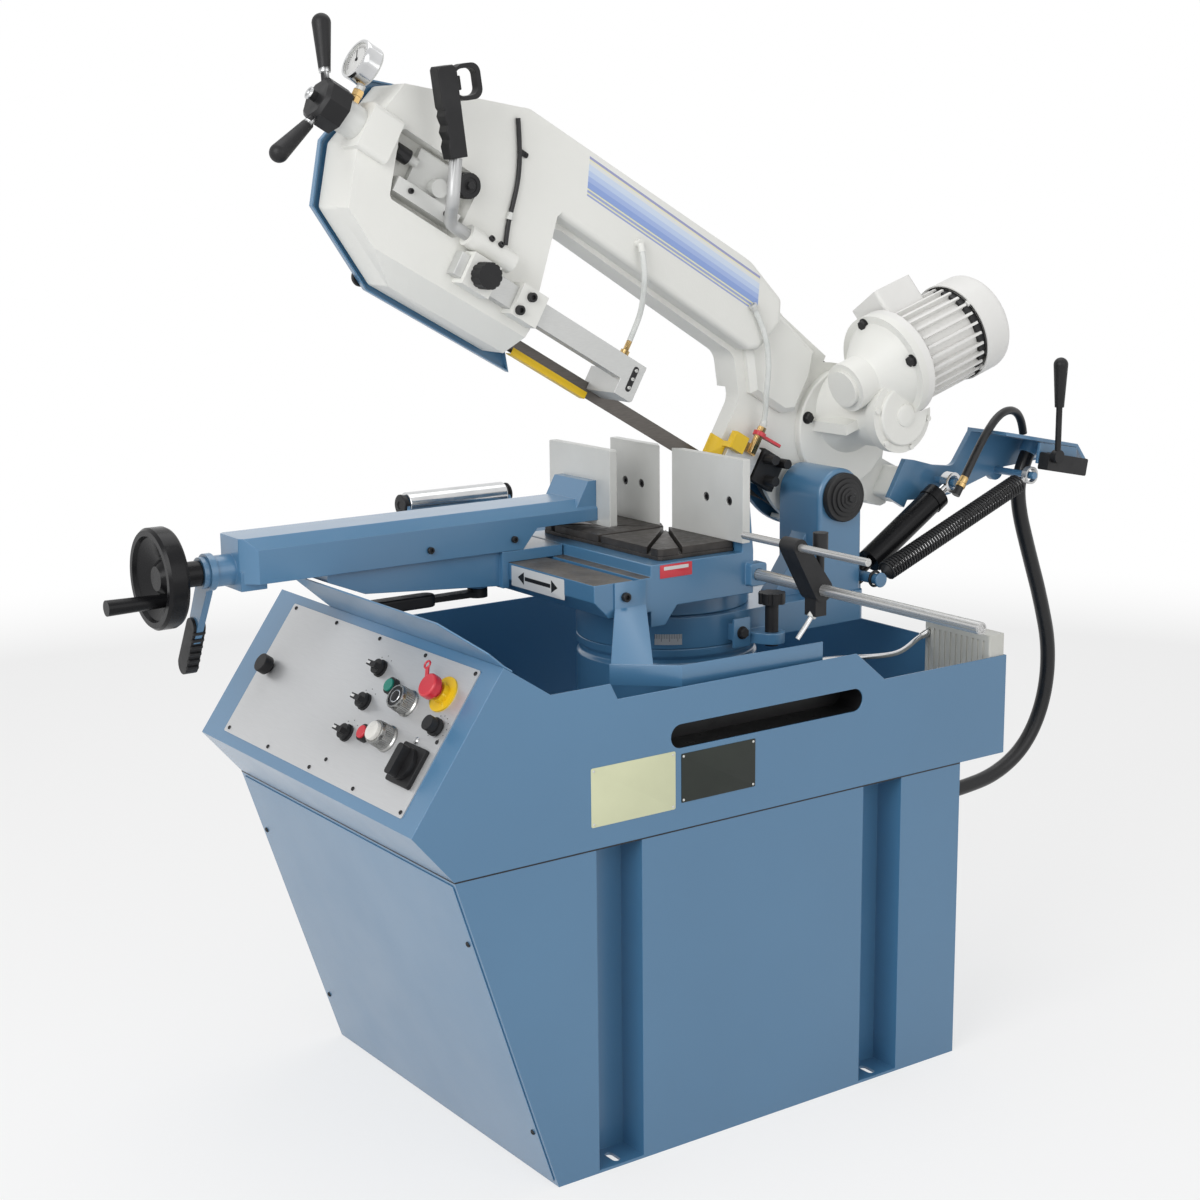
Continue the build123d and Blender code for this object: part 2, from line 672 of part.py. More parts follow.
# Vise carriage on the way, with the tongue that guides the beam
def make_vise_carriage():
    top = bed_top_z - slide_play
    low = way_top_z + slide_play
    saddle = block(way_front_x - 14, way_back_x - 4, beam_near_y, beam_far_y, low, top)
    lip = block(way_front_x - 14, way_front_x - slide_play, beam_near_y, beam_far_y, way_top_z - 45, low)
    arm = prism_y(
        flat([(carriage_tip_x, top), (carriage_tip_x, top - 14), (carriage_tip_x + 70, top - 42),
              (way_front_x - 14, top - 62), (way_front_x - 14, top)]),
        beam_near_y + 10,
        beam_far_y - 10,
    )
    middle = (beam_near_y + beam_far_y) / 2
    tongue = block(carriage_tip_x + 15, way_front_x - 5, middle - tongue_width / 2, middle + tongue_width / 2,
                   top, top + tongue_height)
    pivot = (way_front_x - 21 - 10, middle)
    post = rod((*pivot, top - 70), (*pivot, top - 40), 16)
    pin_hole = rod((*pivot, top - 70), (*pivot, top - 50), 7 + fit_play)
    save("vise_carriage", saddle + lip + arm + tongue + post - pin_hole)


def make_lock_lever():
    top = bed_top_z - slide_play
    middle = (beam_near_y + beam_far_y) / 2
    x = way_front_x - 31
    hub = rod((x, middle, top - 86), (x, middle, top - 70 - slide_play), 18)
    pin = rod((x, middle, top - 70 - slide_play), (x, middle, top - 52), 7)
    bar = prism_z(flat([(x, middle - 14), (x, middle + 14), (x - 110, middle + 11), (x - 110, middle - 11)]),
                  top - 84, top - 74)
    grip = prism_z(Pos(x - 155, middle) * SlotOverall(130, 34), top - 90, top - 68)
    grip = fillet(grip.edges().filter_by(GeomType.LINE), 4)
    save("lock_lever", hub + pin + bar + grip)


# Vise beam: channel that slides over the tongue, with jaw gusset and screw boss
def make_vise_beam():
    middle = (beam_near_y + beam_far_y) / 2
    back_x = moving_jaw_face_x - jaw_thickness
    profile = flat([(beam_end_x, bed_top_z), (beam_step_x, bed_top_z), (beam_step_x + 30, beam_step_z),
                    (back_x, beam_step_z), (back_x, beam_top_z + 40), (beam_end_x, beam_top_z + 40)])
    beam = prism_y(profile, beam_near_y, beam_far_y)
    beam &= block(beam_end_x, back_x, beam_near_y, beam_far_y, bed_top_z, beam_top_z + 28)
    beam = chamfer(beam.edges().filter_by(Axis.X).sort_by(Axis.Z)[-2:], 18)
    beam = chamfer(beam.edges().filter_by(Axis.Z).sort_by(Axis.X)[:2], 24)
    inside = tongue_width / 2 + slide_play
    beam -= block(beam_end_x + 24, beam_step_x + 40, middle - inside, middle + inside,
                  bed_top_z, bed_top_z + tongue_height + 10)
    gusset = flat([(back_x - 52, beam_top_z), (back_x, beam_top_z), (back_x, beam_top_z + 60),
                   (back_x - 18, beam_top_z + 60)])
    beam += prism_y(gusset, beam_near_y + 4, beam_far_y - 4)
    beam += block(beam_end_x, beam_end_x + 46, middle - 40, middle + 40, bed_top_z - 12, bed_top_z + 20)
    beam += rod((boss_end_x, middle, wheel_centre_z), (beam_end_x + 4, middle, wheel_centre_z), boss_radius)
    beam -= rod((boss_end_x, middle, wheel_centre_z), (boss_end_x + 26, middle, wheel_centre_z), 10 + fit_play)
    save("vise_beam", beam)
    jaw = block(back_x, moving_jaw_face_x, moving_jaw_near_y, moving_jaw_far_y, table_top_z + 6, jaw_top_z)
    save("movable_jaw", chamfer(jaw.edges().filter_by(Axis.X), 2))


# Dished hand wheel with a crank bar, turned from one section
def make_handwheel():
    middle = (beam_near_y + beam_far_y) / 2
    start = boss_end_x - slide_play
    reach = start - hand_wheel_x
    section = flat([
        (0, -24), (10, -24), (10, 0), (21, 0), (21, reach - 26), (30, reach - 22), (62, reach - 6),
        (hand_wheel_radius - 16, reach - 16), (hand_wheel_radius - 13, reach - 24),
        (hand_wheel_radius - 3, reach - 24), (hand_wheel_radius, reach - 18), (hand_wheel_radius, reach + 6),
        (hand_wheel_radius - 4, reach + 11), (hand_wheel_radius - 13, reach + 11), (hand_wheel_radius - 16, reach + 4),
        (62, reach + 2), (30, reach - 10), (20, reach), (0, reach),
    ])
    wheel = revolve(Plane.XZ * section, Axis.Z)
    turn = math.radians(crank_angle)
    x, y = crank_radius * math.cos(turn), crank_radius * math.sin(turn)
    wheel += taper((x, y, reach - 8), (x, y, reach + crank_length), 11, 13)
    place = Plane(origin=(start, middle, wheel_centre_z), x_dir=(0, 1, 0), z_dir=(-1, 0, 0)).location
    save("handwheel", place * wheel)


def make_quick_lever():
    middle = (beam_near_y + beam_far_y) / 2
    low, high = boss_end_x + 8, boss_end_x + 24
    hub = disc((middle, wheel_centre_z), boss_radius + 5)
    tip = (middle + 98, wheel_centre_z - 172)
    bar = make_hull(disc((middle + 16, wheel_centre_z - 26), 20).edges() + disc(tip, 13).edges())
    lever = prism_x(hub + bar, low + 2, high - 2)
    grip_top = (middle + 58, wheel_centre_z - 100)
    grip = make_hull(disc(grip_top, 15).edges() + disc(tip, 17).edges())
    lever += prism_x(grip, low - 3, high + 3)
    lever -= rod((low - 4, middle, wheel_centre_z), (high + 4, middle, wheel_centre_z), boss_radius + fit_play)
    save("quick_lever", lever)


# Routes on the bow are (along, y, up) from the pivot
cable_route = [(-884, -66.3, 266), (-856, -66.3, 224), (-836, -66.3, 180), (-826, -66.3, 138), (-820, -66.3, 108),
               (-808, -66.3, 77)]
fixed_hose_route = [(-300, -68, 232), (-272, -70, 216), (-240, -72, 190), (-210, -70, 152), (-186, -62, 112),
                    (-160, -50, 84), (-150, -46, 61)]
guide_hose_route = [(-564, -73, 196), (-552, -77.5, 178), (-530, -74, 146), (-500, -50, 112), (-490, -38, 84),
                    (-488, -36.3, 63)]
feed_hose_route = [(414, -104, 319), (390, -108, 341), (346, -118, 342), (308, -128, 312), (288, -136, 258),
                   (278, -142, 202), (272, -146, 160), (268, -147, 124)]


# Bow casting, built with the blade level and then raised to its rest angle
def make_bow_frame():
    left_leg = flat([(-1118, 88), (-1088, 208), (-868, 292), (-690, 294), (-738, 167), (-697, -20),
                     (-705, -70), (-950, -74), (-1086, -8)])
    beam = flat([(-868, 167), (-868, 292), (-320, 298), (-190, 262), (-60, 246), (-60, 120), (-240, 130),
                 (-259, 150)])
    right_leg = flat([(-207, -25), (-207, 85), (-259, 150), (-240, 200), (0, 200), (20, -40), (-120, -25)])
    ear = flat([(60, 30), (214, 60), (224, 70), (224, 134), (214, 144), (60, 134)])
    web = left_leg + beam + right_leg + ear + disc((drive_along, wheel_up), case_radius + 8)
    web = fillet(corners(web, (-738, 167), (-259, 150), (-207, 85)), 34)
    web = fillet(corners(web, (-1118, 88), (-1088, 208), (-868, 292), (-1086, -8), (-950, -74)), 12)
    bow = prism_y(web, web_near_y, case_back_y)
    thick_beam = flat([(-880, 174), (-880, 288), (-868, 292), (-320, 298), (-236, 275), (-216, 236), (-238, 172),
                       (-262, 160), (-400, 164)])
    rim = prism_y(left_leg, rim_near_y, web_near_y)
    rim = chamfer(rim.edges().filter_by(GeomType.LINE).sort_by_distance((-828, rim_near_y, -72))[:1], 34)
    thick_beam = fillet(corners(thick_beam, (-236, 275), (-216, 236), (-238, 172)), 14)
    thick_solid = prism_y(thick_beam, rim_near_y, web_near_y)
    near_edges = thick_solid.faces().sort_by(Axis.Y)[0].edges()
    rim += fillet([edge for edge in near_edges if edge.center().Z < 182 and edge.center().X > -870], 12)
    bow += rim
    pad = flat([(-300, 250), (-236, 262), (-190, 255), (-100, 236), (-86, 190), (-86, 120), (-112, 104),
                (-196, 104), (-240, 160)])
    pad_solid = prism_y(pad, web_near_y - 20, web_near_y)
    bow += chamfer(pad_solid.faces().sort_by(Axis.Y)[0].edges(), 10)
    bow += rod((gear_flange_along, web_near_y, gear_flange_up), (gear_flange_along, web_near_y + 8, gear_flange_up),
               gear_flange_radius - 8)
    # Wheel cases and blade runs, open at the back
    runs = disc((idler_along, wheel_up), case_radius) + disc((drive_along, wheel_up), case_radius)
    middle_along = (idler_along + drive_along) / 2
    runs += Pos(middle_along, wheel_up + wheel_radius - 8) * Rectangle(drive_along - idler_along, 34)
    runs += Pos((idler_along - 690) / 2, blade_middle) * Rectangle(-690 - idler_along, blade_width + 12)
    runs += Pos((drive_along - 140) / 2, blade_middle) * Rectangle(140 + drive_along, blade_width + 12)
    bow -= prism_y(runs, web_inner_y, case_back_y)
    bow -= block(-220, -166, 14, case_back_y, -60, 120)
    # Open pocket for the idler slide, and the slot for its axle
    pocket = fillet(flat([(-1064, 148), (-1030, 40), (-894, 40), (-894, 148)]).vertices(), 10)
    bow -= prism_y(pocket, rim_near_y, rim_near_y + 32)
    bow -= prism_y(Pos(idler_along, wheel_up) * SlotOverall(64, 34), rim_near_y, web_inner_y)
    bow -= prism_y(disc((drive_along, wheel_up), 20), web_near_y - 1, web_inner_y)
    # Bosses: tension screw, pivot hub, handle, rear bracket
    boss = block(-1124, -1066, tension_y - 33, web_near_y, tension_up - 38, tension_up + 38)
    bow += fillet(boss.edges().filter_by(Axis.X).sort_by(Axis.Y)[:2], 10)
    bow -= rod((-1124, tension_y, tension_up), (-1040, tension_y, tension_up), 9)
    hub_y = column_far_y + slide_play
    bow += rod((0, hub_y, 0), (0, web_near_y, 0), 38)
    bow -= rod((0, hub_y, 0), (0, web_inner_y - 2, 0), pivot_radius)
    bow += rod((-886, rim_near_y - 14, 54), (-790, rim_near_y - 14, 54), 18)
    bracket_back = bracket_near_y + bracket_thickness
    bow += fillet(block(180, 222, bracket_back, web_near_y, 72, 136).edges().filter_by(Axis.Y), 8)
    # Elbow that the movable guide's hose leaves from
    bow += rod((-572, rim_near_y + 2, 208), (-572, rim_near_y - 10, 208), 7)
    bow += rod((-572, rim_near_y - 8, 208), guide_hose_route[0], 6)
    # Straps that hold the guide bar on the near face
    bar_near = rim_near_y - slide_play - guide_bar_thickness - slide_play
    for low, high in ((-868, -812), (-762, -708)):
        strap = block(low, high, bar_near - 10, rim_near_y, guide_bar_low - 8, guide_bar_high + 8)
        strap -= block(low, high, bar_near, rim_near_y, guide_bar_low - slide_play, guide_bar_high + slide_play)
        bow += strap
    bow -= rod((-840, bar_near - 10, 6), (-840, bar_near, 6), 6 + fit_play)
    save("bow_frame", bow_frame_place * bow)


# Sheet cover over the wheel cases at the back, with its knobs
def make_wheel_cover():
    left = flat([(-1131, 86), (-1098, 214), (-870, 300), (-690, 302), (-730, 160), (-690, -20), (-640, -79),
                 (-950, -84), (-1097, -12)])
    top = flat([(-868, 175), (-868, 300), (-320, 306), (-190, 270), (-60, 250), (-60, 130), (-259, 160)])
    right = disc((drive_along, wheel_up), case_radius + 10)
    outline = left + top + right
    pan = prism_y(outline, case_back_y, case_back_y + cover_depth)
    inner = offset(outline, amount=-2.5, kind=Kind.INTERSECTION)
    pan -= prism_y(inner, case_back_y, case_back_y + cover_depth - 2.5)
    knobs = []
    face = case_back_y + cover_depth
    for along, up in ((-960, -66), (-700, 230), (-1075, 120), (60, wheel_up)):
        stud = rod((along, face, up), (along, face + 3, up), 6)
        knobs.append(stud + rod((along, face + 3, up), (along, face + 10.5, up), 16))
    save("wheel_cover", *[bow_frame_place * piece for piece in [pan, *knobs]])


# Spoked band wheel with a rim flange, and the drive wheel's shaft
def band_wheel(along, bore):
    back = wheel_near_y + wheel_width
    wheel = disc((along, wheel_up), wheel_radius) - disc((along, wheel_up), wheel_radius - 14)
    wheel = prism_y(wheel, wheel_near_y, back)
    web = disc((along, wheel_up), wheel_radius - 14)
    for i in range(5):
        angle = math.radians(72 * i + 18)
        place = (along + 82 * math.cos(angle), wheel_up + 82 * math.sin(angle))
        web -= disc(place, 30)
    wheel += prism_y(web, wheel_near_y + 9, wheel_near_y + 19)
    wheel += rod((along, wheel_near_y, wheel_up), (along, back, wheel_up), 34)
    if bore:
        wheel -= rod((along, wheel_near_y - 1, wheel_up), (along, back + 1, wheel_up), bore + fit_play)
    return wheel


def make_band_wheels():
    shaft = rod((drive_along, web_near_y - 12, wheel_up), (drive_along, wheel_near_y, wheel_up), 16)
    save("drive_wheel", bow_frame_place * (band_wheel(drive_along, 0) + shaft))
    save("idler_wheel", bow_frame_place * band_wheel(idler_along, 15))


# Endless blade: flat on the wheels, twisted upright between the guides
def make_blade():
    inner = wheel_radius + slide_play
    outer = inner + blade_thickness
    middle = (idler_along + drive_along) / 2
    span = drive_along - idler_along
    loop = Pos(middle, wheel_up) * SlotOverall(span + 2 * outer, 2 * outer)
    loop -= Pos(middle, wheel_up) * SlotOverall(span + 2 * inner, 2 * inner)
    loop -= Pos(middle, wheel_up - outer) * Rectangle(span, 20)
    band_y = wheel_near_y + (wheel_width - blade_width) / 2
    band = prism_y(loop, band_y, band_y + blade_width)
    low = wheel_up - outer + blade_thickness / 2
    lying = RectangleRounded(blade_width, blade_thickness, 0.2)
    blade = [band]
    for start, end in ((idler_along, -720), (drive_along, -138)):
        sections = []
        for share in (0, 0.25, 0.5, 0.75, 1):
            along = start + (end - start) * share
            y = (band_y + blade_width / 2) * (1 - share)
            up = low + (blade_middle - low) * share
            turn = 90 * share ** 2
            station = Plane((along, y, up), x_dir=(0, 1, 0), z_dir=(1, 0, 0)).location
            sections.append(station * Rot(0, 0, turn) * lying)
        blade.append(loft(sections))
    blade.append(block(-720, -138, -blade_thickness / 2, blade_thickness / 2, blade_low, blade_low + blade_width))
    save("blade", *[bow_frame_place * piece for piece in blade])


# Tension unit: slide block with the idler axle, screw sleeve and pressure gauge
def make_tension_unit():
    slide_near = rim_near_y + 3
    slide_back = rim_near_y + 32 - slide_play
    slide = block(-1006, -912, slide_near + 16, slide_back, 62, 142)
    slide += block(-1030, -903, slide_near - 3, slide_back, 54, 79)
    slide += rod((idler_along, slide_near, wheel_up), (idler_along, wheel_near_y + wheel_width, wheel_up), 15)
    slide += rod((-1124, tension_y, tension_up), (-1004, tension_y, tension_up), 8)
    bellows = rod((-1047, tension_y, tension_up), (-1022, tension_y, tension_up), 13)
    bellows -= rod((-1047, tension_y, tension_up), (-1022, tension_y, tension_up), 8 + fit_play)
    sleeve = rod((sleeve_end, tension_y, tension_up), (sleeve_end + sleeve_length, tension_y, tension_up), 27)
    stem_along = sleeve_end + 16
    stem_foot = tension_up + 24
    stem = rod((stem_along, tension_y, stem_foot), (stem_along, tension_y, gauge_up - gauge_radius + 2), 7)
    dial = sleeve_end - 12
    gauge = rod((dial, tension_y, gauge_up), (dial + gauge_depth, tension_y, gauge_up), gauge_radius)
    gauge -= rod((dial, tension_y, gauge_up), (dial + 3, tension_y, gauge_up), gauge_radius - 4)
    knob = rod((-922, rim_near_y - 22, 122), (-922, rim_near_y - 4, 122), 20)
    knob += rod((-922, rim_near_y - 4, 122), (-922, slide_near + 16 - fit_play, 122), 9)
    pieces = [slide, bellows, sleeve + stem + gauge, knob]
    save("tension_unit", *[bow_frame_place * piece for piece in pieces])


# Two-armed tension handle
def make_tension_star():
    low, high = sleeve_end - star_hub_length, sleeve_end - slide_play
    hub = prism_x(Pos(tension_y, tension_up) * RegularPolygon(38, 8), low, high)
    hub = chamfer(hub.edges().filter_by(GeomType.LINE).filter_by(Axis.X, reverse=True).sort_by(Axis.X)[:8], 6)
    star = hub + rod((low - 12, tension_y, tension_up), (low, tension_y, tension_up), 8)
    middle = (low + high) / 2
    for side in (1, -1):
        dy, dz = 0.25 * side, 0.88 * side
        reach = [(middle - 0.40 * r, tension_y + dy * r, tension_up + dz * r) for r in (20, 50, 56, 128)]
        star += rod(reach[0], reach[2], 6.5)
        star += taper(reach[1], reach[3], 9, 15)
        star += Pos(*reach[3]) * Sphere(15)
    save("tension_star", bow_frame_place * star)


# Movable blade guide on its bar, with the guard strip and the coolant valve body
def make_guide_arm():
    near = rim_near_y - slide_play - guide_bar_thickness
    far = rim_near_y - slide_play
    bar = block(-884, -465, near, far, guide_bar_low, guide_bar_high)
    head = block(-507, -465, near, 14, -42, guide_bar_high)
    head -= block(-507, -465, -1, 1, -42, -28)
    head -= block(-507, -465, far + 12, 14, 2, guide_bar_high)
    guide = bar + chamfer(head.edges().filter_by(Axis.Y).sort_by(Axis.X)[-2:], 4)
    guard = prism_x(strip([(6, -59.5), (-8.5, -59.5), (-8.5, -40)], 1.5), -680, -507)
    valve = rod((-488, far + 26, 2), (-488, far + 26, 44), 8)
    valve += rod((-488, far + 26, 44), (-488, far + 26, 62), 5)
    save("guide_arm", *[bow_frame_place * piece for piece in (guide, guard, valve)])
    save("valve_lever_left", bow_frame_place * valve_lever(-488, far + 26, 26))
    fixed = block(-195, -122, web_near_y - 14, web_near_y, -42, 24)
    fixed += block(-195, -142, web_near_y, 14, -42, -25)
    fixed -= block(-195, -142, -1, 1, -42, -28)
    shield = block(-236, -196, web_near_y - 5, web_near_y, -40, 4)
    shield += block(-203, -172, web_near_y - 30, web_near_y - 14, -6, 26)
    shield += block(-205, -196, web_near_y - 20, web_near_y - 5, -6, 4)
    valve = rod((-150, web_near_y - 24, 6), (-150, web_near_y - 24, 58), 8)
    foot = block(-160, -140, web_near_y - 24, web_near_y - 14, 4, 22)
    brush = block(-118, -62, web_near_y - 16, web_near_y, -34, 30)
    for along, up in ((-106, 14), (-76, 20), (-86, -20)):
        brush += rod((along, web_near_y - 44, up), (along, web_near_y - 16, up), 9)
    pieces = (fixed, shield, valve + foot, brush)
    save("fixed_guide", *[bow_frame_place * piece for piece in pieces])
    save("valve_lever_right", bow_frame_place * valve_lever(-150, web_near_y - 24, 40))


# Lever with a collar round a coolant valve
def valve_lever(along, y, up):
    lever = rod((along, y, up), (along, y, up + 8), 12)
    handle = make_hull(disc((along + 8, y), 6).edges() + disc((along + 46, y - 6), 5).edges())
    lever += prism_z(handle, up + 1, up + 6)
    return lever - rod((along, y, up - 1), (along, y, up + 9), 8 + fit_play)


def make_guide_clamp_knob():
    near = rim_near_y - 2 * slide_play - guide_bar_thickness - 10
    stem = rod((-840, near - 4, 6), (-840, near + 9, 6), 6)
    head = disc((-840, 6), 22)
    for i in range(12):
        angle = math.radians(30 * i)
        head -= disc((-840 + 24 * math.cos(angle), 6 + 24 * math.sin(angle)), 3.4)
    save("guide_clamp_knob", bow_frame_place * (stem + prism_y(head, near - 26, near - slide_play)))


# Handle: bent tube, pistol grip with a finger loop, and its trigger
grip_y = -122.0
grip_foot = (-985.0, 135.0)
grip_turn = 128.0


def grip_place():
    return Plane(
        origin=(grip_foot[0], grip_y, grip_foot[1]),
        x_dir=(math.cos(math.radians(grip_turn)), 0, math.sin(math.radians(grip_turn))),
        z_dir=(0, -1, 0),
    ).location


def make_bow_handle():
    start = (-886, rim_near_y - 14, 54)
    bend = (start[0] - 36, start[1], start[2])
    path = FilletPolyline(start, bend, (-958, grip_y, 74), (grip_foot[0], grip_y, grip_foot[1]), radius=22)
    tube = sweep(Plane(origin=start, z_dir=path % 0) * Circle(10.5), path=path)
    grip = flat([(0, -15), (136, -17), (141, -10), (141, 14), (136, 17), (80, 17), (74, 14), (66, 17), (52, 13),
                 (42, 17), (30, 13), (20, 17), (0, 15)])
    loop = Pos(112, -38) * RectangleRounded(56, 46, 16)
    loop -= Pos(112, -34) * RectangleRounded(42, 38, 12)
    grip_solid = extrude(grip, amount=14, both=True)
    grip_solid = fillet(grip_solid.faces().filter_by(Axis.Z).edges(), 3)
    loop_solid = extrude(loop, amount=9, both=True) - extrude(grip, amount=30, both=True)
    seat = extrude(Pos(112, -12) * Rectangle(22 + 2 * slide_play, 18), amount=6 + slide_play, both=True)
    save("bow_handle", bow_frame_place * tube, bow_frame_place * grip_place() * (grip_solid + loop_solid - seat))
    trigger = extrude(Pos(112, -18) * RectangleRounded(22, 13, 2), amount=6, both=True)
    save("trigger", bow_frame_place * grip_place() * trigger)


# Pivot shaft with its near cap
def make_pivot_shaft():
    shaft = rod((0, column_near_y - slide_play, 0), (0, web_inner_y - 2, 0), pivot_radius)
    cap = rod((0, column_near_y - 14, 0), (0, column_near_y - slide_play, 0), pivot_cap_radius)
    cap = fillet(cap.edges().sort_by(Axis.Y)[:1], 3)
    nut = rod((0, column_near_y - 26, 0), (0, column_near_y - 14, 0), 12)
    save("pivot_shaft", bow_frame_place * (shaft + cap + nut))


# Worm reducer and flanged motor
def motor_point(s, y=motor_y):
    angle = math.radians(motor_angle)
    return (motor_along + s * math.cos(angle), y, motor_up + s * math.sin(angle))


def make_gearbox():
    flange_face = web_near_y - 15
    box = rod((gear_flange_along, web_near_y, gear_flange_up), (gear_flange_along, flange_face, gear_flange_up),
              gear_flange_radius)
    box = fillet(box.edges().sort_by(Axis.Y)[:1], 4)
    body = (gear_body_along, gear_body_up)
    box += taper((body[0], flange_face, body[1]), (body[0], flange_face - 40, body[1]), 84, gear_body_radius)
    box += rod((body[0], flange_face, body[1]), (body[0], gear_cap_y, body[1]), gear_body_radius)
    box += rod((body[0], gear_cap_y - 12, body[1]), (body[0], gear_cap_y + 10, body[1]), gear_body_radius + 6)
    cap = rod((body[0], gear_cap_y - 20, body[1]), (body[0], gear_cap_y - 12, body[1]), gear_body_radius - 8)
    box += fillet(cap.edges().sort_by(Axis.Y)[:1], 4)
    box += rod(motor_point(-111), motor_point(-20), 46)
    box += rod(motor_point(-119), motor_point(-111), 34)
    box += taper(motor_point(-70), motor_point(-16), 46, 88)
    box += rod(motor_point(-16), motor_point(0), 102)
    rib = flat([(body[0] - 70, body[1] - 60), (body[0] - 60, body[1] - 76), (body[0] + 10, body[1]),
                (body[0], body[1] + 14)])
    box += prism_y(rib, gear_cap_y + 40, flange_face)
    for i in range(6):
        angle = math.radians(60 * i + 20)
        place = (body[0] + 64 * math.cos(angle), body[1] + 64 * math.sin(angle))
        box += rod((place[0], gear_cap_y - 17, place[1]), (place[0], gear_cap_y - 12, place[1]), 5)
    box -= rod(motor_point(0), motor_point(60), 104)
    box -= rod((drive_along, web_near_y - 13, wheel_up), (drive_along, web_near_y, wheel_up), 16 + fit_play)
    save("gearbox", bow_frame_place * box)


def make_motor():
    axis = Vector(*motor_point(1)) - Vector(*motor_point(0))
    place = Plane(origin=motor_point(0), x_dir=(0, 1, 0), z_dir=axis).location
    from_base = (Align.CENTER, Align.CENTER, Align.MIN)
    core = Cylinder(motor_radius, motor_core, align=from_base)
    flange = Cylinder(102, 16, align=from_base)
    body = core + flange
    fins = 28
    for i in range(fins):
        fin = Pos(motor_radius + 3, 0, motor_core - 72) * Box(14, 5, 130)
        body += Rot(0, 0, 360 / fins * (i + 0.5)) * fin
    terminal_box = fillet(Box(60, 92, 92).edges().filter_by(Axis.X), 8)
    body += Rot(0, 0, 60) * (Pos(motor_radius + 18, 0, motor_core - 92) * terminal_box)
    shell = Pos(0, 0, motor_core) * Cylinder(motor_radius + 14, motor_cowl, align=from_base)
    shell = fillet(shell.edges().sort_by(Axis.Z)[-1], 14)
    hollow = Cylinder(motor_radius + 11.5, motor_cowl - 16, align=from_base)
    shell -= Pos(0, 0, motor_core) * hollow
    for i in range(24):
        slot = Pos(52, 0, motor_core + motor_cowl - 7) * Box(44, 4, 30)
        shell -= Rot(0, 0, 15 * i) * slot
    fan_seat = Pos(0, 0, motor_core) * Cylinder(motor_radius - 6, 40, align=from_base)
    for i in range(4):
        body += Rot(0, 0, 90 * i + 45) * (Pos(motor_radius + 4, 0, motor_core + 7) * Box(15, 10, 22))
    save("motor", bow_frame_place * place * (body + fan_seat), bow_frame_place * place * (shell - body))


# Rear bracket: cranked web with a shelf that carries the feed valve, spring pin and cylinder pin
shelf_low = (309.0, 271.0)
shelf_high = (500.0, 336.0)
shelf_thickness = 7.0
shelf_near_y = -169.0
valve_near_y = -195.0
valve_pin = (425.0, 285.0)


def make_rear_bracket():
    back = bracket_near_y + bracket_thickness
    outline = flat([(178, 68), (178, 150), (200, 158), (250, 171), (300, 192), shelf_low, shelf_high, (538, 321),
                    (430, 250), (321, 140), (282, 112), (224, 84), (224, 68)])
    outline = fillet(corners(outline, (200, 158), (300, 192), (321, 140)), 20)
    outline = outline + disc((cylinder_pin_along, cylinder_pin_up), 22)
    outline = outline + disc((spring_pin_along, spring_pin_up), 20)
    bracket = prism_y(outline, bracket_near_y, back)
    bracket += prism_y(strip([shelf_low, shelf_high, (538, 321)], shelf_thickness), shelf_near_y, back)
    lip = flat([(402, 300), shelf_high, (524, 300), (416, 262)])
    bracket += prism_y(lip, shelf_near_y, shelf_near_y + 6)
    gland = (conduit_along, conduit_y)
    bracket += rod((*gland, conduit_up), (*gland, conduit_up + 42), conduit_radius + 4) - prism_y(
        strip([shelf_low, shelf_high], 80), shelf_near_y, back)
    bracket += rod((cylinder_pin_along, cylinder_y - 16, cylinder_pin_up),
                   (cylinder_pin_along, back, cylinder_pin_up), 8)
    bracket += rod((spring_pin_along, spring_y - 14, spring_pin_up), (spring_pin_along, back, spring_pin_up), 7)
    slope = math.degrees(math.atan2(shelf_high[1] - shelf_low[1], shelf_high[0] - shelf_low[0]))
    valve_face = Pos(469, 287) * Rot(0, 0, slope) * RectangleRounded(112, 34, 4)
    valve = prism_y(valve_face, valve_near_y, shelf_near_y)
    valve -= rod((valve_pin[0], valve_near_y, valve_pin[1]), (valve_pin[0], valve_near_y + 20, valve_pin[1]),
                 6 + fit_play)
    save("rear_bracket", bow_frame_place * bracket, bow_frame_place * valve)


def make_flow_lever():
    along, up = valve_pin
    lean = math.radians(90 + bow_rest_angle)
    tip = (along + 178 * math.cos(lean), up + 178 * math.sin(lean))
    waist = (along + 96 * math.cos(lean), up + 96 * math.sin(lean))
    y = valve_near_y - 8
    lever = rod((along, y - 6, up), (along, y + 8 - slide_play, up), 13)
    lever += rod((along, y + 8 - slide_play, up), (along, y + 26, up), 6)
    lever += rod((along, y, up), (waist[0], y, waist[1]), 6)
    lever += taper((waist[0], y, waist[1]), (tip[0], y, tip[1]), 9, 14) + Pos(tip[0], y, tip[1]) * Sphere(14)
    save("flow_lever", bow_frame_place * lever)


# Feed cylinder and counter spring between the column foot and the rear bracket
def rest_point(along, up):
    angle = math.radians(bow_rest_angle)
    x = pivot_x + along * math.cos(angle) + up * math.sin(angle)
    z = pivot_z - along * math.sin(angle) + up * math.cos(angle)
    return x, z


def link_points(pin_along, pin_up, y):
    x, z = rest_point(pin_along, pin_up)
    reach = math.dist((anchor_x, anchor_z), (x, z))
    ux, uz = (x - anchor_x) / reach, (z - anchor_z) / reach
    return reach, lambda s: (anchor_x + ux * s, y, anchor_z + uz * s)


def eye(point, radius, bore, half_width):
    x, y, z = point
    return rod((x, y - half_width, z), (x, y + half_width, z), radius) - rod(
        (x, y - half_width, z), (x, y + half_width, z), bore)


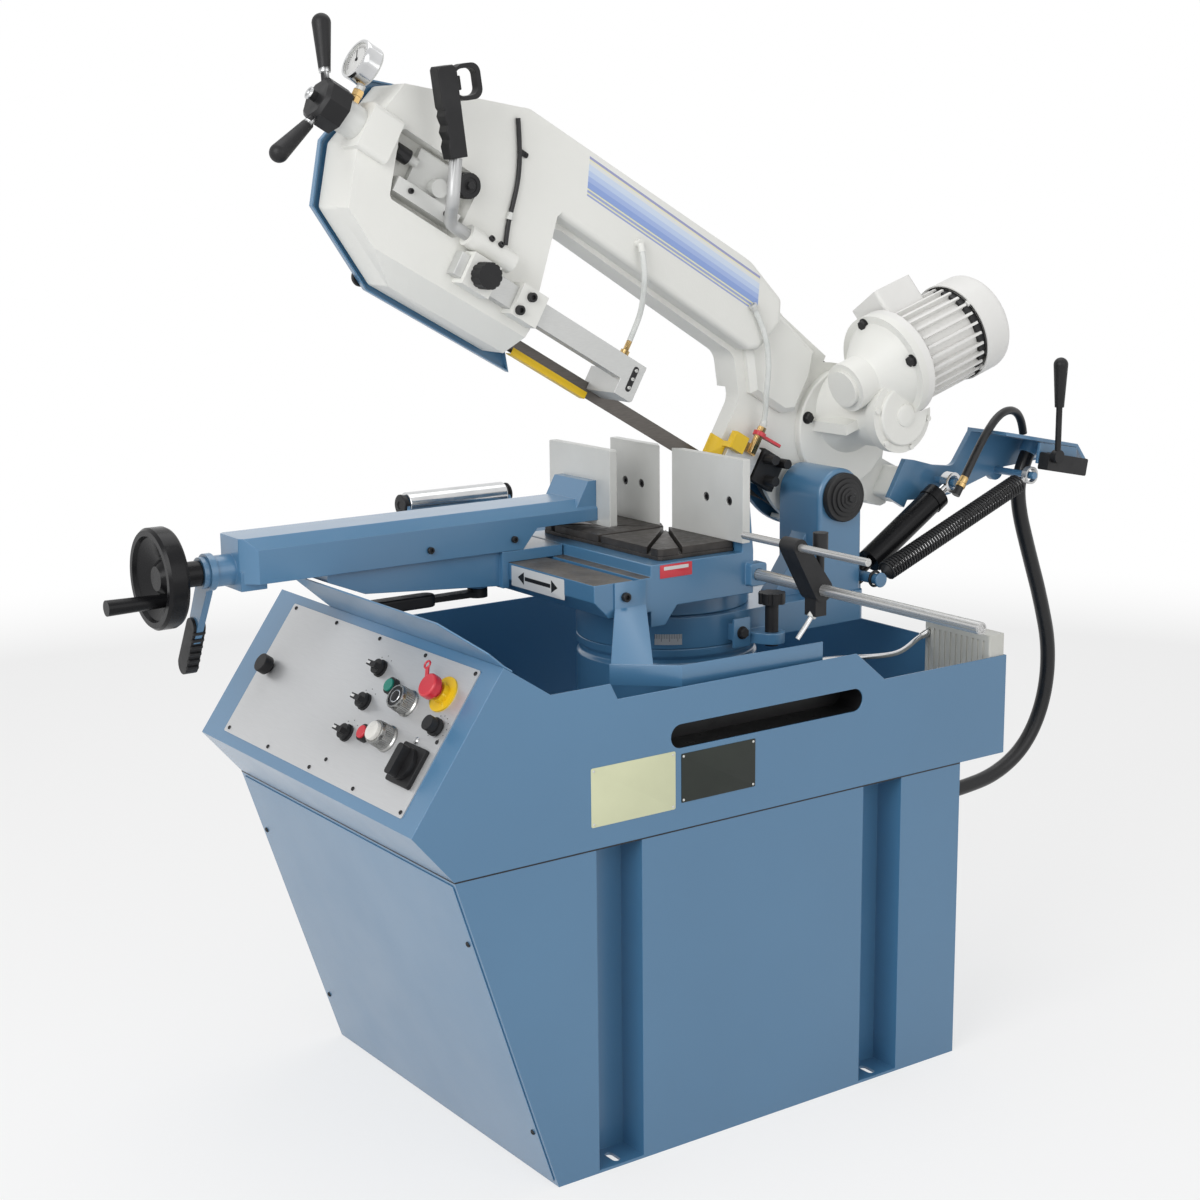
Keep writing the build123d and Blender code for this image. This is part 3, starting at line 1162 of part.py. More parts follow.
def make_feed_cylinder():
    reach, at = link_points(cylinder_pin_along, cylinder_pin_up, cylinder_y)
    barrel_end = 244
    barrel = rod(at(40), at(barrel_end), 24) + rod(at(12), at(42), 11)
    barrel += rod(at(barrel_end - 22), at(barrel_end), 26) + eye(at(0), 18, 9, 9)
    barrel -= rod(at(50), at(barrel_end + 1), 9 + fit_play)
    barrel -= eye(at(0), anchor_radius + fit_play, 0.5, 30)
    barrel -= rod((anchor_x, cylinder_y - 30, anchor_z), (anchor_x, cylinder_y + 30, anchor_z),
                  anchor_radius + fit_play)
    save("cylinder_barrel", barrel)
    piston = rod(at(68), at(reach - 15), 9)
    save("cylinder_rod", piston + eye(at(reach), 20, 14, 9))


def make_counter_spring():
    reach, at = link_points(spring_pin_along, spring_pin_up, spring_y)
    coil_end = reach - 34
    coil = rod(at(30), at(coil_end), spring_radius) - rod(at(44), at(coil_end - 8), spring_radius - 5)
    coil += rod(at(12), at(32), 5) + eye(at(0), 16, 9, 6)
    coil -= rod((anchor_x, spring_y - 20, anchor_z), (anchor_x, spring_y + 20, anchor_z), anchor_radius + fit_play)
    coil -= rod(at(60), at(coil_end + 1), 5 + fit_play)
    save("spring_coil", coil)
    save("spring_hook", rod(at(reach - 190), at(reach - 14), 5) + eye(at(reach), 17, 13, 6))


# Hoses and cables: straight runs joined by tangent arcs as large as the runs allow
def cord(points, radius, name):
    points = [Vector(*point) for point in points]
    radii = []
    for before, point, after in zip(points, points[1:], points[2:]):
        first, second = point - before, after - point
        turn = math.radians(first.get_angle(second))
        radii.append(0.45 * min(first.length, second.length) / math.tan(turn / 2))
    path = FilletPolyline(*points, radius=radii)
    tube = sweep(Plane(origin=points[0], z_dir=points[1] - points[0]) * Circle(radius), path=path)
    print(name, "length", round(path.length), "radii", [round(r) for r in radii])
    return tube


conduit_start = rest_point(conduit_along, conduit_up)
conduit_next = rest_point(conduit_along, conduit_up - 50)
conduit_route = [(conduit_start[0], conduit_y, conduit_start[1]), (conduit_next[0], conduit_y, conduit_next[1]),
                 (886, -106, 950), (914, -110, 862), (952, -112, 760), (984, -112, 650),
                 (976, -110, 540), (930, -106, 452), (850, -102, 404), (752, -100, 392), (652, -100, 390.5),
                 (560, -100, 388), (484, -100, 384)]


def make_hoses():
    cable = cord(cable_route, hose_radius - 1, "cable")
    fixed_hose = cord(fixed_hose_route, hose_radius, "fixed hose")
    save("bow_hoses", bow_frame_place * cable, bow_frame_place * fixed_hose)
    save("guide_hose", bow_frame_place * cord(guide_hose_route, hose_radius, "guide hose"))
    save("feed_hose", bow_frame_place * cord(feed_hose_route, 8, "feed hose"))
    save("rear_conduit", cord(conduit_route, conduit_radius, "conduit"))


make_pedestal()
make_front_access_panel()
make_chip_tray()
make_panel_hood()
make_control_plate()
make_control_bezels()
make_panel_controls()
make_turret_base()
make_swivel_arm()
make_mitre_lock_knob()
make_vise_bed()
make_work_table()
make_fixed_jaws()
make_chip_deflector()
make_roller()
make_length_stop()
make_mist_reservoir()
make_vise_carriage()
make_lock_lever()
make_vise_beam()
make_handwheel()
make_quick_lever()
make_bow_frame()
make_wheel_cover()
make_band_wheels()
make_blade()
make_tension_unit()
make_tension_star()
make_guide_arm()
make_guide_clamp_knob()
make_bow_handle()
make_pivot_shaft()
make_gearbox()
make_motor()
make_rear_bracket()
make_flow_lever()
make_feed_cylinder()
make_counter_spring()
make_hoses()
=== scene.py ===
import bpy
import json
import math
from functools import partial
from mathutils import Euler, Matrix, Vector

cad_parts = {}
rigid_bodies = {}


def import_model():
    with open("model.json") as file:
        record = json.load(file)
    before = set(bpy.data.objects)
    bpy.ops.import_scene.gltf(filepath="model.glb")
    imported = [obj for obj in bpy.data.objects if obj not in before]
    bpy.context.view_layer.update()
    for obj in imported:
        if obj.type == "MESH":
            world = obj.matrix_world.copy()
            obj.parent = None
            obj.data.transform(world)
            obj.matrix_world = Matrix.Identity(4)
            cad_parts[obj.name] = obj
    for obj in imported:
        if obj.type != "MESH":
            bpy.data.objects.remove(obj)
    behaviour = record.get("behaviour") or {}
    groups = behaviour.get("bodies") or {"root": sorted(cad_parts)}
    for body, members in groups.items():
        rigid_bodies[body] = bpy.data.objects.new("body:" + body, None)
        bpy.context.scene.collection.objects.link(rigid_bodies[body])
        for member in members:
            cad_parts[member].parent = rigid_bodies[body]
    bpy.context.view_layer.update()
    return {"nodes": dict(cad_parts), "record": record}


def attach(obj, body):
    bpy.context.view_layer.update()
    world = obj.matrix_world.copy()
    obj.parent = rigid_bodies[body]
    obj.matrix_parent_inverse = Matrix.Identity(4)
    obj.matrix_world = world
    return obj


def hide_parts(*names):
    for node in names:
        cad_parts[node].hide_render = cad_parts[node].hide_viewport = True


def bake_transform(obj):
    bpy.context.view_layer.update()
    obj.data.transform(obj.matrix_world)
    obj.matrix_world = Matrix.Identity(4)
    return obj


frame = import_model()
sceneItems = bpy.context.scene.collection.objects
bpy.context.scene.view_settings.view_transform = "Standard"
print("frame loaded:", len(frame["nodes"]), "nodes")


# camera at the photograph's place
view = {"place": (-2.1070, -2.9287, 1.6275), "yaw": -34.988, "pitch": 11.995, "roll": 0.586, "lens": 61.57,
        "sensor": 36}


def addCamera():
    lens = bpy.data.cameras.new("viewCamera")
    lens.lens = view["lens"]
    lens.sensor_width = view["sensor"]
    camera = bpy.data.objects.new("viewCamera", lens)
    sceneItems.link(camera)
    aim = Euler((math.radians(90 - view["pitch"]), 0, math.radians(view["yaw"]))).to_matrix()
    aim = aim @ Matrix.Rotation(math.radians(-view["roll"]), 3, "Z")
    camera.matrix_world = Matrix.Translation(view["place"]) @ aim.to_4x4()
    bpy.context.scene.camera = camera


addCamera()
print("camera set")


# places on the raised bow, in metres along it, across it and up from its pivot
bowPivot = (0.377, 1.029)
bowTurn = math.radians(30)


def bowPoint(along, y, up):
    x = bowPivot[0] + along * math.cos(bowTurn) + up * math.sin(bowTurn)
    z = bowPivot[1] - along * math.sin(bowTurn) + up * math.cos(bowTurn)
    return Vector((x, y, z))


def bowLocal(point):
    x, z = point.x - bowPivot[0], point.z - bowPivot[1]
    along = x * math.cos(bowTurn) - z * math.sin(bowTurn)
    up = x * math.sin(bowTurn) + z * math.cos(bowTurn)
    return along, point.y, up


def bowWay(along, y, up):
    return bowPoint(along, y, up) - bowPoint(0, 0, 0)


# places on the control panel and the leaning front, each with its foot and its upward run in x and z
panel = {"foot": (-0.666, 0.645), "run": (0.5790, 0.8154), "face": 0.002}
front = {"foot": (-0.411, 0.0), "run": (-0.3091, 0.9511), "face": 0.002}


def slopePoint(slope, along, y, out):
    (footX, footZ), (runX, runZ) = slope["foot"], slope["run"]
    return Vector((footX + runX * along - runZ * out, y, footZ + runZ * along + runX * out))


# places a piece that was made lying flat at the origin, so that its top looks along a direction
def facing(point, direction, turn=0.0):
    aim = Vector(direction).to_track_quat("Z", "Y").to_matrix().to_4x4()
    return Matrix.Translation(point) @ aim @ Matrix.Rotation(turn, 4, "Z")


def pointing(start, end):
    return facing(start, Vector(end) - Vector(start))


nearSide, leftSide, rightSide = (0, -1, 0), (-1, 0, 0), (1, 0, 0)


def onNear(x, y, z):
    return facing((x, y, z), nearSide)


def onBow(along, y, up):
    return facing(bowPoint(along, y, up), nearSide, -bowTurn)


def onSlope(slope, along, y, out=None, turn=0.0):
    runX, runZ = slope["run"]
    height = slope["face"] if out is None else out
    return facing(slopePoint(slope, along, y, height), (-runZ, 0, runX), turn)


# offsets round a circle, one for each turn in degrees
def spokes(turns, radius):
    return [(radius * math.cos(math.radians(turn)), radius * math.sin(math.radians(turn))) for turn in turns]


# selection and editing
def leaveEdit():
    bpy.ops.object.mode_set(mode="OBJECT")


def clearSelection():
    if bpy.context.object and bpy.context.object.mode != "OBJECT":
        leaveEdit()
    bpy.ops.object.select_all(action="DESELECT")


def makeActive(piece):
    clearSelection()
    piece.select_set(True)
    bpy.context.view_layer.objects.active = piece


def editAll(piece):
    makeActive(piece)
    bpy.ops.object.mode_set(mode="EDIT")
    bpy.ops.mesh.select_all(action="SELECT")


def pickItems(piece, mode, group, test):
    editAll(piece)
    bpy.ops.mesh.select_mode(type=mode)
    bpy.ops.mesh.select_all(action="DESELECT")
    leaveEdit()
    for item in getattr(piece.data, group):
        item.select = bool(test(item))
    bpy.ops.object.mode_set(mode="EDIT")


def pickFaces(piece, test):
    pickItems(piece, "FACE", "polygons", test)


def pickEdges(piece, test):
    pickItems(piece, "EDGE", "edges", lambda edge: test(*(piece.data.vertices[i].co for i in edge.vertices)))


def turnOutward(piece):
    editAll(piece)
    bpy.ops.mesh.normals_make_consistent(inside=False)
    leaveEdit()


def applyModifier(piece, kind, **values):
    makeActive(piece)
    modifier = piece.modifiers.new(kind.lower(), kind)
    for key, value in values.items():
        setattr(modifier, key, value)
    bpy.ops.object.modifier_apply(modifier=modifier.name)


def smoothShade(piece, angle=32):
    makeActive(piece)
    bpy.ops.object.shade_smooth_by_angle(angle=math.radians(angle))


# a new basic mesh, with its place put into its points
def startPiece(name, shape, **values):
    clearSelection()
    getattr(bpy.ops.mesh, "primitive_" + shape + "_add")(**values)
    piece = bpy.context.object
    piece.name = name
    bpy.ops.object.transform_apply(location=True, rotation=True, scale=True)
    return piece


def copyPiece(source, name, matrix=None):
    piece = bpy.data.objects.new(name, source.data.copy())
    sceneItems.link(piece)
    if matrix is not None:
        piece.data.transform(matrix)
    return piece


def joinPieces(pieces, name):
    clearSelection()
    for piece in pieces:
        piece.select_set(True)
    bpy.context.view_layer.objects.active = pieces[0]
    if len(pieces) > 1:
        bpy.ops.object.join()
    pieces[0].name = name
    return pieces[0]


def giveFinish(piece, finish):
    piece.data.materials.clear()
    piece.data.materials.append(finish)


def paintFaces(piece, finish, test):
    piece.data.materials.append(finishes[finish])
    number = len(piece.data.materials) - 1
    for face in piece.data.polygons:
        if test(face):
            face.material_index = number


def middleOf(piece):
    points = [vertex.co for vertex in piece.data.vertices]
    low = Vector(min(p[i] for p in points) for i in range(3))
    high = Vector(max(p[i] for p in points) for i in range(3))
    return (low + high) / 2


# turned shape: a disc drawn up ring by ring, each ring a radius and a height
def turnedPiece(name, rings, sides=24):
    radius, height = rings[0]
    piece = startPiece(name, "circle", vertices=sides, radius=radius, fill_type="NGON", location=(0, 0, height))
    editAll(piece)
    bpy.ops.mesh.select_mode(type="FACE")
    for nextRadius, nextHeight in rings[1:]:
        bpy.ops.mesh.extrude_region_move(TRANSFORM_OT_translate={"value": (0, 0, nextHeight - height)})
        share = nextRadius / radius
        bpy.ops.transform.resize(value=(share, share, 1), center_override=(0, 0, nextHeight))
        radius, height = nextRadius, nextHeight
    turnOutward(piece)
    smoothShade(piece)
    return piece


# shallow flutes round a turned shape between two heights
def flutePiece(piece, low, high, count, depth):
    for vertex in piece.data.vertices:
        if low <= vertex.co.z <= high:
            turn = math.atan2(vertex.co.y, vertex.co.x)
            pull = 1 - depth * (0.5 + 0.5 * math.cos(count * turn))
            vertex.co.x *= pull
            vertex.co.y *= pull
    smoothShade(piece, 50)


# flat plate with rounded corners and, where it has a lip, a softened top edge
def platePiece(name, width, height, thick, corner, lip=0.0):
    piece = startPiece(name, "cube", size=1, location=(0, 0, thick / 2), scale=(width, height, thick))
    pickEdges(piece, lambda a, b: abs(a.z - b.z) > thick * 0.5)
    bpy.ops.mesh.bevel(offset=corner, segments=4, affect="EDGES")
    leaveEdit()
    if lip:
        pickEdges(piece, lambda a, b: min(a.z, b.z) > thick * 0.99)
        bpy.ops.mesh.bevel(offset=lip, segments=2, affect="EDGES")
        leaveEdit()
    smoothShade(piece)
    return piece


# screw heads, drawn as shares of the head's radius
headShares = {"hexagon": [(1, 0.18), (1, 0.75), (0.84, 0.92)], "washer": [(1.16, 0), (1.16, 0.15), (1.10, 0.2)],
              "socket": [(1, 0), (1, 0.88), (0.9, 1), (0.58, 1), (0.58, 0.4)], "socketHole": 0.58,
              "round": [(1, 0), (1, 0.22), (0.86, 0.46), (0.5, 0.62)], "slot": (1.1, 0.26, 1, 0.05), "slotFoot": 0.36}


def headPiece(name, kind, size, sides=24):
    return turnedPiece(name, [(size * radius, size * height) for radius, height in headShares[kind]], sides)


def hexBolt(name, size):
    return joinPieces([headPiece(name, "hexagon", size, 6), headPiece(name, "washer", size)], name)


# the round hole's points are drawn in to a hexagon
def socketScrew(name, size):
    piece = headPiece(name, "socket", size)
    hole, flat = size * headShares["socketHole"], math.radians(30)
    for vertex in piece.data.vertices:
        if abs(math.hypot(vertex.co.x, vertex.co.y) - hole) < hole * 0.02:
            turn = math.atan2(vertex.co.y, vertex.co.x) % (2 * flat)
            pull = math.cos(flat) / math.cos(turn - flat)
            vertex.co.x *= pull
            vertex.co.y *= pull
    smoothShade(piece)
    return piece


# two bars cut the cross slot
def roundScrew(name, size):
    piece = headPiece(name, "round", size)
    for turn in (0, math.radians(90)):
        bar = platePiece(name + "Slot", *(size * share for share in headShares["slot"]))
        bar.data.transform(Matrix.Translation((0, 0, size * headShares["slotFoot"])) @ Matrix.Rotation(turn, 4, "Z"))
        applyModifier(piece, "BOOLEAN", object=bar, operation="DIFFERENCE", solver="EXACT")
        bpy.data.objects.remove(bar)
    smoothShade(piece)
    return piece


def settle(piece, finish, body, *nodes):
    giveFinish(piece, finishes[finish])
    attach(piece, body)
    if nodes:
        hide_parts(*nodes)
    return piece


# copies a shape to each place, as one piece on one body
def setOn(shape, name, places, finish, body):
    parts = [copyPiece(shape, name, place) for place in places]
    bpy.data.objects.remove(shape)
    return settle(joinPieces(parts, name), finish, body)


# shader nodes: a value is set on an input, and another node's output is linked to it
def feedNode(holder, node, inputs):
    for key, value in inputs.items():
        if isinstance(value, bpy.types.NodeSocket):
            holder.node_tree.links.new(value, node.inputs[key])
        else:
            node.inputs[key].default_value = value


def addNode(holder, kind, inputs, **settings):
    node = holder.node_tree.nodes.new("ShaderNode" + kind)
    for key, value in settings.items():
        setattr(node, key, value)
    feedNode(holder, node, inputs)
    return node


def addMath(holder, operation, first, second=0.0):
    return addNode(holder, "Math", {0: first, 1: second}, operation=operation).outputs["Value"]


def addRange(holder, factor, low, high, start=0.3, end=0.7):
    limits = {"From Min": start, "From Max": end, "To Min": low, "To Max": high}
    return addNode(holder, "MapRange", {"Value": factor, **limits}).outputs["Result"]


def addNoise(finish, place, scale, detail=4, stretch=(1, 1, 1), turn=(0, 0, 0)):
    mapping = addNode(finish, "Mapping", {"Vector": place, "Scale": stretch, "Rotation": turn})
    noise = addNode(finish, "TexNoise", {"Vector": mapping.outputs["Vector"], "Scale": scale, "Detail": detail})
    return noise.outputs["Fac"]


def addRamp(finish, factor, stops, interpolation="LINEAR"):
    ramp = addNode(finish, "ValToRGB", {"Fac": factor})
    ramp.color_ramp.interpolation = interpolation
    elements = ramp.color_ramp.elements
    while len(elements) < len(stops):
        elements.new(0.5)
    for element, (position, colour) in zip(elements, stops):
        element.position = position
        element.color = (*colour, 1)
    return ramp.outputs["Color"]


# finishes: every pattern is read from object coordinates
def startFinish(name, rough, metal=0.0, coat=0.0, coatRough=0.15, spec=0.5):
    finish = bpy.data.materials.new(name)
    finish.use_nodes = True
    shader = finish.node_tree.nodes["Principled BSDF"]
    feedNode(finish, shader, {"Roughness": rough, "Metallic": metal, "Coat Weight": coat, "Coat Roughness": coatRough,
                              "Specular IOR Level": spec})
    return finish, shader, addNode(finish, "TexCoord", {}).outputs["Object"]


def addTones(finish, shader, s, tone, gloss, grain):
    bump = addNode(finish, "Bump", {"Height": grain, "Strength": s["bump"], "Distance": s["depth"]})
    low, high = s["rough"] - s["spread"], s["rough"] + s["spread"]
    feedNode(finish, shader, {"Base Color": addRamp(finish, tone, [(0.3, s["shade"]), (0.7, s["colour"])]),
                              "Roughness": addRange(finish, gloss, low, high), "Normal": bump.outputs["Normal"]})
    return finish


# sprayed or moulded surface: two close tones, uneven gloss and a fine skin
def skinFinish(name, s, more):
    finish, shader, place = startFinish(name, s["rough"], **more)
    patches = addNoise(finish, place, s["patch"])
    gloss = addNoise(finish, place, s["patch"] * 3.1, 5)
    return addTones(finish, shader, s, patches, gloss, addNoise(finish, place, s["grain"], 2))


# brushed or ground metal: fine lines along one direction
def brushedFinish(name, s):
    finish, shader, place = startFinish(name, s["rough"], s["metal"])
    lines = addNoise(finish, place, s["grain"], 4, s["stretch"], s["turn"])
    return addTones(finish, shader, s, lines, lines, lines)


# one row for each finish, in the order of its columns
skinColumns = ("colour", "shade", "rough", "spread", "patch", "grain", "bump", "depth")
skinRows = {
    "bluePaint": ((0.068, 0.192, 0.340), (0.061, 0.176, 0.316), 0.34, 0.05, 2.2, 900, 0.10, 0.0004),
    "castGrey": ((0.775, 0.775, 0.740), (0.730, 0.730, 0.695), 0.48, 0.06, 5, 380, 0.22, 0.0008),
    "motorWhite": ((0.770, 0.765, 0.745), (0.720, 0.715, 0.695), 0.46, 0.05, 6, 420, 0.18, 0.0007),
    "tableIron": ((0.062, 0.055, 0.050), (0.030, 0.027, 0.025), 0.46, 0.10, 26, 700, 0.15, 0.0005),
    "wayIron": ((0.150, 0.132, 0.112), (0.085, 0.074, 0.064), 0.44, 0.08, 20, 600, 0.12, 0.0004),
    "blackPlastic": ((0.014, 0.014, 0.015), (0.009, 0.009, 0.010), 0.46, 0.06, 18, 1500, 0.20, 0.0003),
    "glossBlack": ((0.009, 0.009, 0.010), (0.006, 0.006, 0.007), 0.26, 0.05, 10, 300, 0.05, 0.0004),
    # this black finish serves real black iron and also painted shade in the motor's cowl gap
    "blackIronAndShade": ((0.018, 0.018, 0.019), (0.010, 0.010, 0.011), 0.48, 0.08, 20, 520, 0.22, 0.0006),
    "redPlastic": ((0.600, 0.028, 0.045), (0.540, 0.022, 0.038), 0.34, 0.05, 30, 1200, 0.08, 0.0003),
    "greenPlastic": ((0.012, 0.215, 0.160), (0.010, 0.185, 0.136), 0.36, 0.05, 30, 1200, 0.08, 0.0003),
    "yellowPaint": ((0.790, 0.520, 0.012), (0.730, 0.470, 0.010), 0.40, 0.06, 14, 800, 0.10, 0.0004),
    "wheelIron": ((0.160, 0.158, 0.152), (0.100, 0.098, 0.094), 0.50, 0.08, 12, 420, 0.30, 0.0008),
    # this black finish serves real rubber and also painted shade in the slot pocket and the gap under the tray
    "blackRubberAndShade": ((0.012, 0.012, 0.013), (0.008, 0.008, 0.009), 0.34, 0.08, 14, 900, 0.10, 0.0004),
    "tankPlastic": ((0.560, 0.560, 0.520), (0.470, 0.470, 0.430), 0.36, 0.06, 9, 500, 0.12, 0.0006),
    "clearHose": ((0.700, 0.710, 0.690), (0.600, 0.620, 0.600), 0.22, 0.05, 60, 700, 0.06, 0.0003),
    "zincSteel": ((0.640, 0.645, 0.625), (0.575, 0.580, 0.560), 0.40, 0.06, 9, 650, 0.08, 0.0003),
    "silverPaint": ((0.500, 0.505, 0.505), (0.440, 0.445, 0.445), 0.40, 0.06, 16, 900, 0.10, 0.0004),
    "brassFitting": ((0.620, 0.430, 0.190), (0.520, 0.350, 0.150), 0.28, 0.06, 40, 900, 0.08, 0.0003),
    "chrome": ((0.660, 0.665, 0.670), (0.570, 0.575, 0.580), 0.16, 0.05, 20, 800, 0.03, 0.0003),
    "knurlSteel": ((0.400, 0.400, 0.390), (0.270, 0.270, 0.262), 0.30, 0.08, 60, 900, 0.10, 0.0003),
    "milkLens": ((0.700, 0.690, 0.655), (0.640, 0.630, 0.595), 0.30, 0.05, 40, 1200, 0.06, 0.0002),
    "paleCard": ((0.640, 0.660, 0.440), (0.600, 0.620, 0.410), 0.50, 0.05, 12, 1000, 0.05, 0.0002),
    "whiteCard": ((0.680, 0.680, 0.670), (0.630, 0.630, 0.620), 0.46, 0.05, 14, 1000, 0.05, 0.0002),
    "darkCard": ((0.020, 0.026, 0.020), (0.014, 0.018, 0.014), 0.44, 0.06, 12, 1000, 0.05, 0.0002),
}
skinExtras = {
    "bluePaint": {"coat": 0.8, "coatRough": 0.24}, "redPlastic": {"coat": 0.2}, "milkLens": {"coat": 0.2},
    "tableIron": {"metal": 0.2, "spec": 0.35}, "wayIron": {"metal": 0.35}, "wheelIron": {"metal": 0.4},
    "zincSteel": {"metal": 0.15}, "silverPaint": {"metal": 0.35}, "brassFitting": {"metal": 1.0},
    "chrome": {"metal": 1.0}, "knurlSteel": {"metal": 1.0}, "blackPlastic": {"spec": 0.3},
    "glossBlack": {"spec": 0.18},
    "blackIronAndShade": {"spec": 0.35}, "blackRubberAndShade": {"spec": 0.4}, "darkCard": {"spec": 0.35},
}
brushedColumns = ("colour", "shade", "rough", "spread", "grain", "bump", "depth", "metal", "stretch", "turn")
unturned = (0, 0, 0)
brushedRows = {
    "panelAluminium": ((0.585, 0.592, 0.600), (0.535, 0.542, 0.550), 0.38, 0.04, 30, 0.03, 0.0002, 0.55,
                       (60, 1, 60), unturned),
    "groundSteel": ((0.580, 0.585, 0.575), (0.520, 0.525, 0.515), 0.36, 0.05, 22, 0.02, 0.0002, 0.45,
                    (4, 40, 60), unturned),
    "rodSteel": ((0.560, 0.560, 0.555), (0.500, 0.500, 0.495), 0.28, 0.04, 6, 0.01, 0.0001, 0.7,
                 (60, 1, 60), unturned),
    "bladeSteel": ((0.155, 0.142, 0.130), (0.105, 0.096, 0.088), 0.40, 0.06, 24, 0.04, 0.0002, 0.6, (2, 60, 40),
                   (0, -bowTurn, 0)),
}
finishes = {}
for name, row in skinRows.items():
    finishes[name] = skinFinish(name, dict(zip(skinColumns, row)), skinExtras.get(name, {}))
for name, row in brushedRows.items():
    finishes[name] = brushedFinish(name, dict(zip(brushedColumns, row)))


# coloured bands along the bow's back, told apart by the height over the pivot with the blade level
stripe = {"low": 0.226, "high": 0.285, "left": -0.716, "right": -0.292, "face": -0.062, "lean": 0.013,
          "thick": 0.0004,
          "corner": 0.0004, "rough": 0.42, "patch": 18, "gloss": (0.36, 0.48),
          "bands": [(0.00, (0.31, 0.37, 0.62)), (0.045, (0.74, 0.72, 0.46)), (0.085, (0.31, 0.37, 0.62)),
                    (0.15, (0.74, 0.72, 0.46)), (0.19, (0.25, 0.35, 0.65)), (0.36, (0.34, 0.44, 0.71)),
                    (0.50, (0.46, 0.56, 0.77)), (0.64, (0.58, 0.66, 0.79)), (0.80, (0.70, 0.71, 0.70)),
                    (0.89, (0.74, 0.72, 0.50)), (0.93, (0.31, 0.33, 0.54))]}


def stripeFinish():
    s = stripe
    finish, shader, place = startFinish("bowStripe", s["rough"])
    step = partial(addMath, finish)
    axes = addNode(finish, "SeparateXYZ", {"Vector": place}).outputs
    height = step("ADD", step("MULTIPLY", axes["X"], math.sin(bowTurn)),
                  step("MULTIPLY", axes["Z"], math.cos(bowTurn)))
    foot = bowPivot[0] * math.sin(bowTurn) + bowPivot[1] * math.cos(bowTurn) + s["low"]
    share = step("DIVIDE", step("SUBTRACT", height, foot), s["high"] - s["low"])
    feedNode(finish, shader, {"Base Color": addRamp(finish, share, s["bands"], "CONSTANT"),
                              "Roughness": addRange(finish, addNoise(finish, place, s["patch"]), *s["gloss"])})
    return finish


# mitre scale: one dark tick a degree round the turret's axis, long ones every five
mitreScale = {"centre": (0.090, 0.0), "radius": 0.1653, "from": -134.0, "to": -117.3, "low": 0.8035, "high": 0.8225,
              "thick": 0.0008, "steps": 14, "rough": 0.38, "metal": 0.4, "patch": 60, "gloss": (0.30, 0.44),
              "ticks": [(1, 0.22, 0.008), (5, 0.05, 0.013)],      # degrees apart, share that is dark, length
              "tones": [(0.45, (0.52, 0.53, 0.53)), (0.55, (0.03, 0.03, 0.03))]}


def scaleFinish():
    s = mitreScale
    finish, shader, place = startFinish("mitreScaleTicks", s["rough"], s["metal"])
    step = partial(addMath, finish)
    axes = addNode(finish, "SeparateXYZ", {"Vector": place}).outputs
    x, y = step("SUBTRACT", axes["X"], s["centre"][0]), step("SUBTRACT", axes["Y"], s["centre"][1])
    turn = step("MULTIPLY", step("ARCTAN2", y, x), 180 / math.pi)
    ticks = 0.0
    for apart, dark, length in s["ticks"]:
        line = step("LESS_THAN", step("FRACT", step("DIVIDE", turn, apart)), dark)
        line = step("MULTIPLY", line, step("GREATER_THAN", axes["Z"], s["high"] - length))
        ticks = step("MAXIMUM", line, ticks)
    feedNode(finish, shader, {"Base Color": addRamp(finish, ticks, s["tones"]),
                              "Roughness": addRange(finish, addNoise(finish, place, s["patch"]), *s["gloss"])})
    return finish


finishes["bowStripe"] = stripeFinish()
finishes["mitreScaleTicks"] = scaleFinish()
print("finishes made:", len(finishes))


# floor, backdrop and lamps
studio = {"floor": 0.86, "floorSize": 60, "floorRough": 0.9, "floorSpec": 0.1, "floorLift": 0.66, "fadeStart": 1.8,
          "fadeEnd": 5.0, "worldLight": 0.48, "aim": (0, 0, 0.8),
          "lamps": [("keyLamp", (-4.2, -1.8, 3.2), 3.0, 126), ("fillLamp", (0.6, -4.8, 2.6), 3.4, 38),
                    ("topLamp", (0.8, 0.6, 4.6), 3.0, 40)]}


# one for rays that come straight from the camera, by a reflection or through a clear piece
def directRays(holder):
    rays = addNode(holder, "LightPath", {}).outputs
    seen = addMath(holder, "MAXIMUM", rays["Is Camera Ray"], rays["Is Glossy Ray"])
    return addMath(holder, "MAXIMUM", seen, rays["Is Transmission Ray"])


def addFloor():
    s = studio
    floor = startPiece("studioFloor", "plane", size=s["floorSize"])
    finish, shader, place = startFinish("paleFloor", s["floorRough"], spec=s["floorSpec"])
    shader.inputs["Base Color"].default_value = (s["floor"], s["floor"], s["floor"], 1)
    reach = addNode(finish, "VectorMath", {0: place}, operation="LENGTH").outputs["Value"]
    limits = {"From Min": s["fadeStart"], "From Max": s["fadeEnd"]}
    fade = addNode(finish, "MapRange", {"Value": reach, **limits}, interpolation_type="SMOOTHSTEP").outputs["Result"]
    paler = addMath(finish, "MAXIMUM", addMath(finish, "MULTIPLY", directRays(finish), s["floorLift"]), fade)
    white = addNode(finish, "Emission", {}).outputs["Emission"]
    mix = addNode(finish, "MixShader", {"Fac": paler, 1: shader.outputs["BSDF"], 2: white})
    feedNode(finish, finish.node_tree.nodes["Material Output"], {"Surface": mix.outputs["Shader"]})
    giveFinish(floor, finish)


def addLights():
    world = bpy.data.worlds.new("studioWorld")
    bpy.context.scene.world = world
    world.use_nodes = True
    strength = addRange(world, directRays(world), studio["worldLight"], 1.0, 0.0, 1.0)
    feedNode(world, world.node_tree.nodes["Background"], {"Color": (1, 1, 1, 1), "Strength": strength})
    for name, place, size, power in studio["lamps"]:
        lamp = bpy.data.lights.new(name, "AREA")
        lamp.size = size
        lamp.energy = power
        holder = bpy.data.objects.new(name, lamp)
        sceneItems.link(holder)
        holder.location = place
        toward = Vector(studio["aim"]) - Vector(place)
        holder.rotation_euler = toward.to_track_quat("-Z", "Y").to_euler()


addFloor()
addLights()
print("studio set")


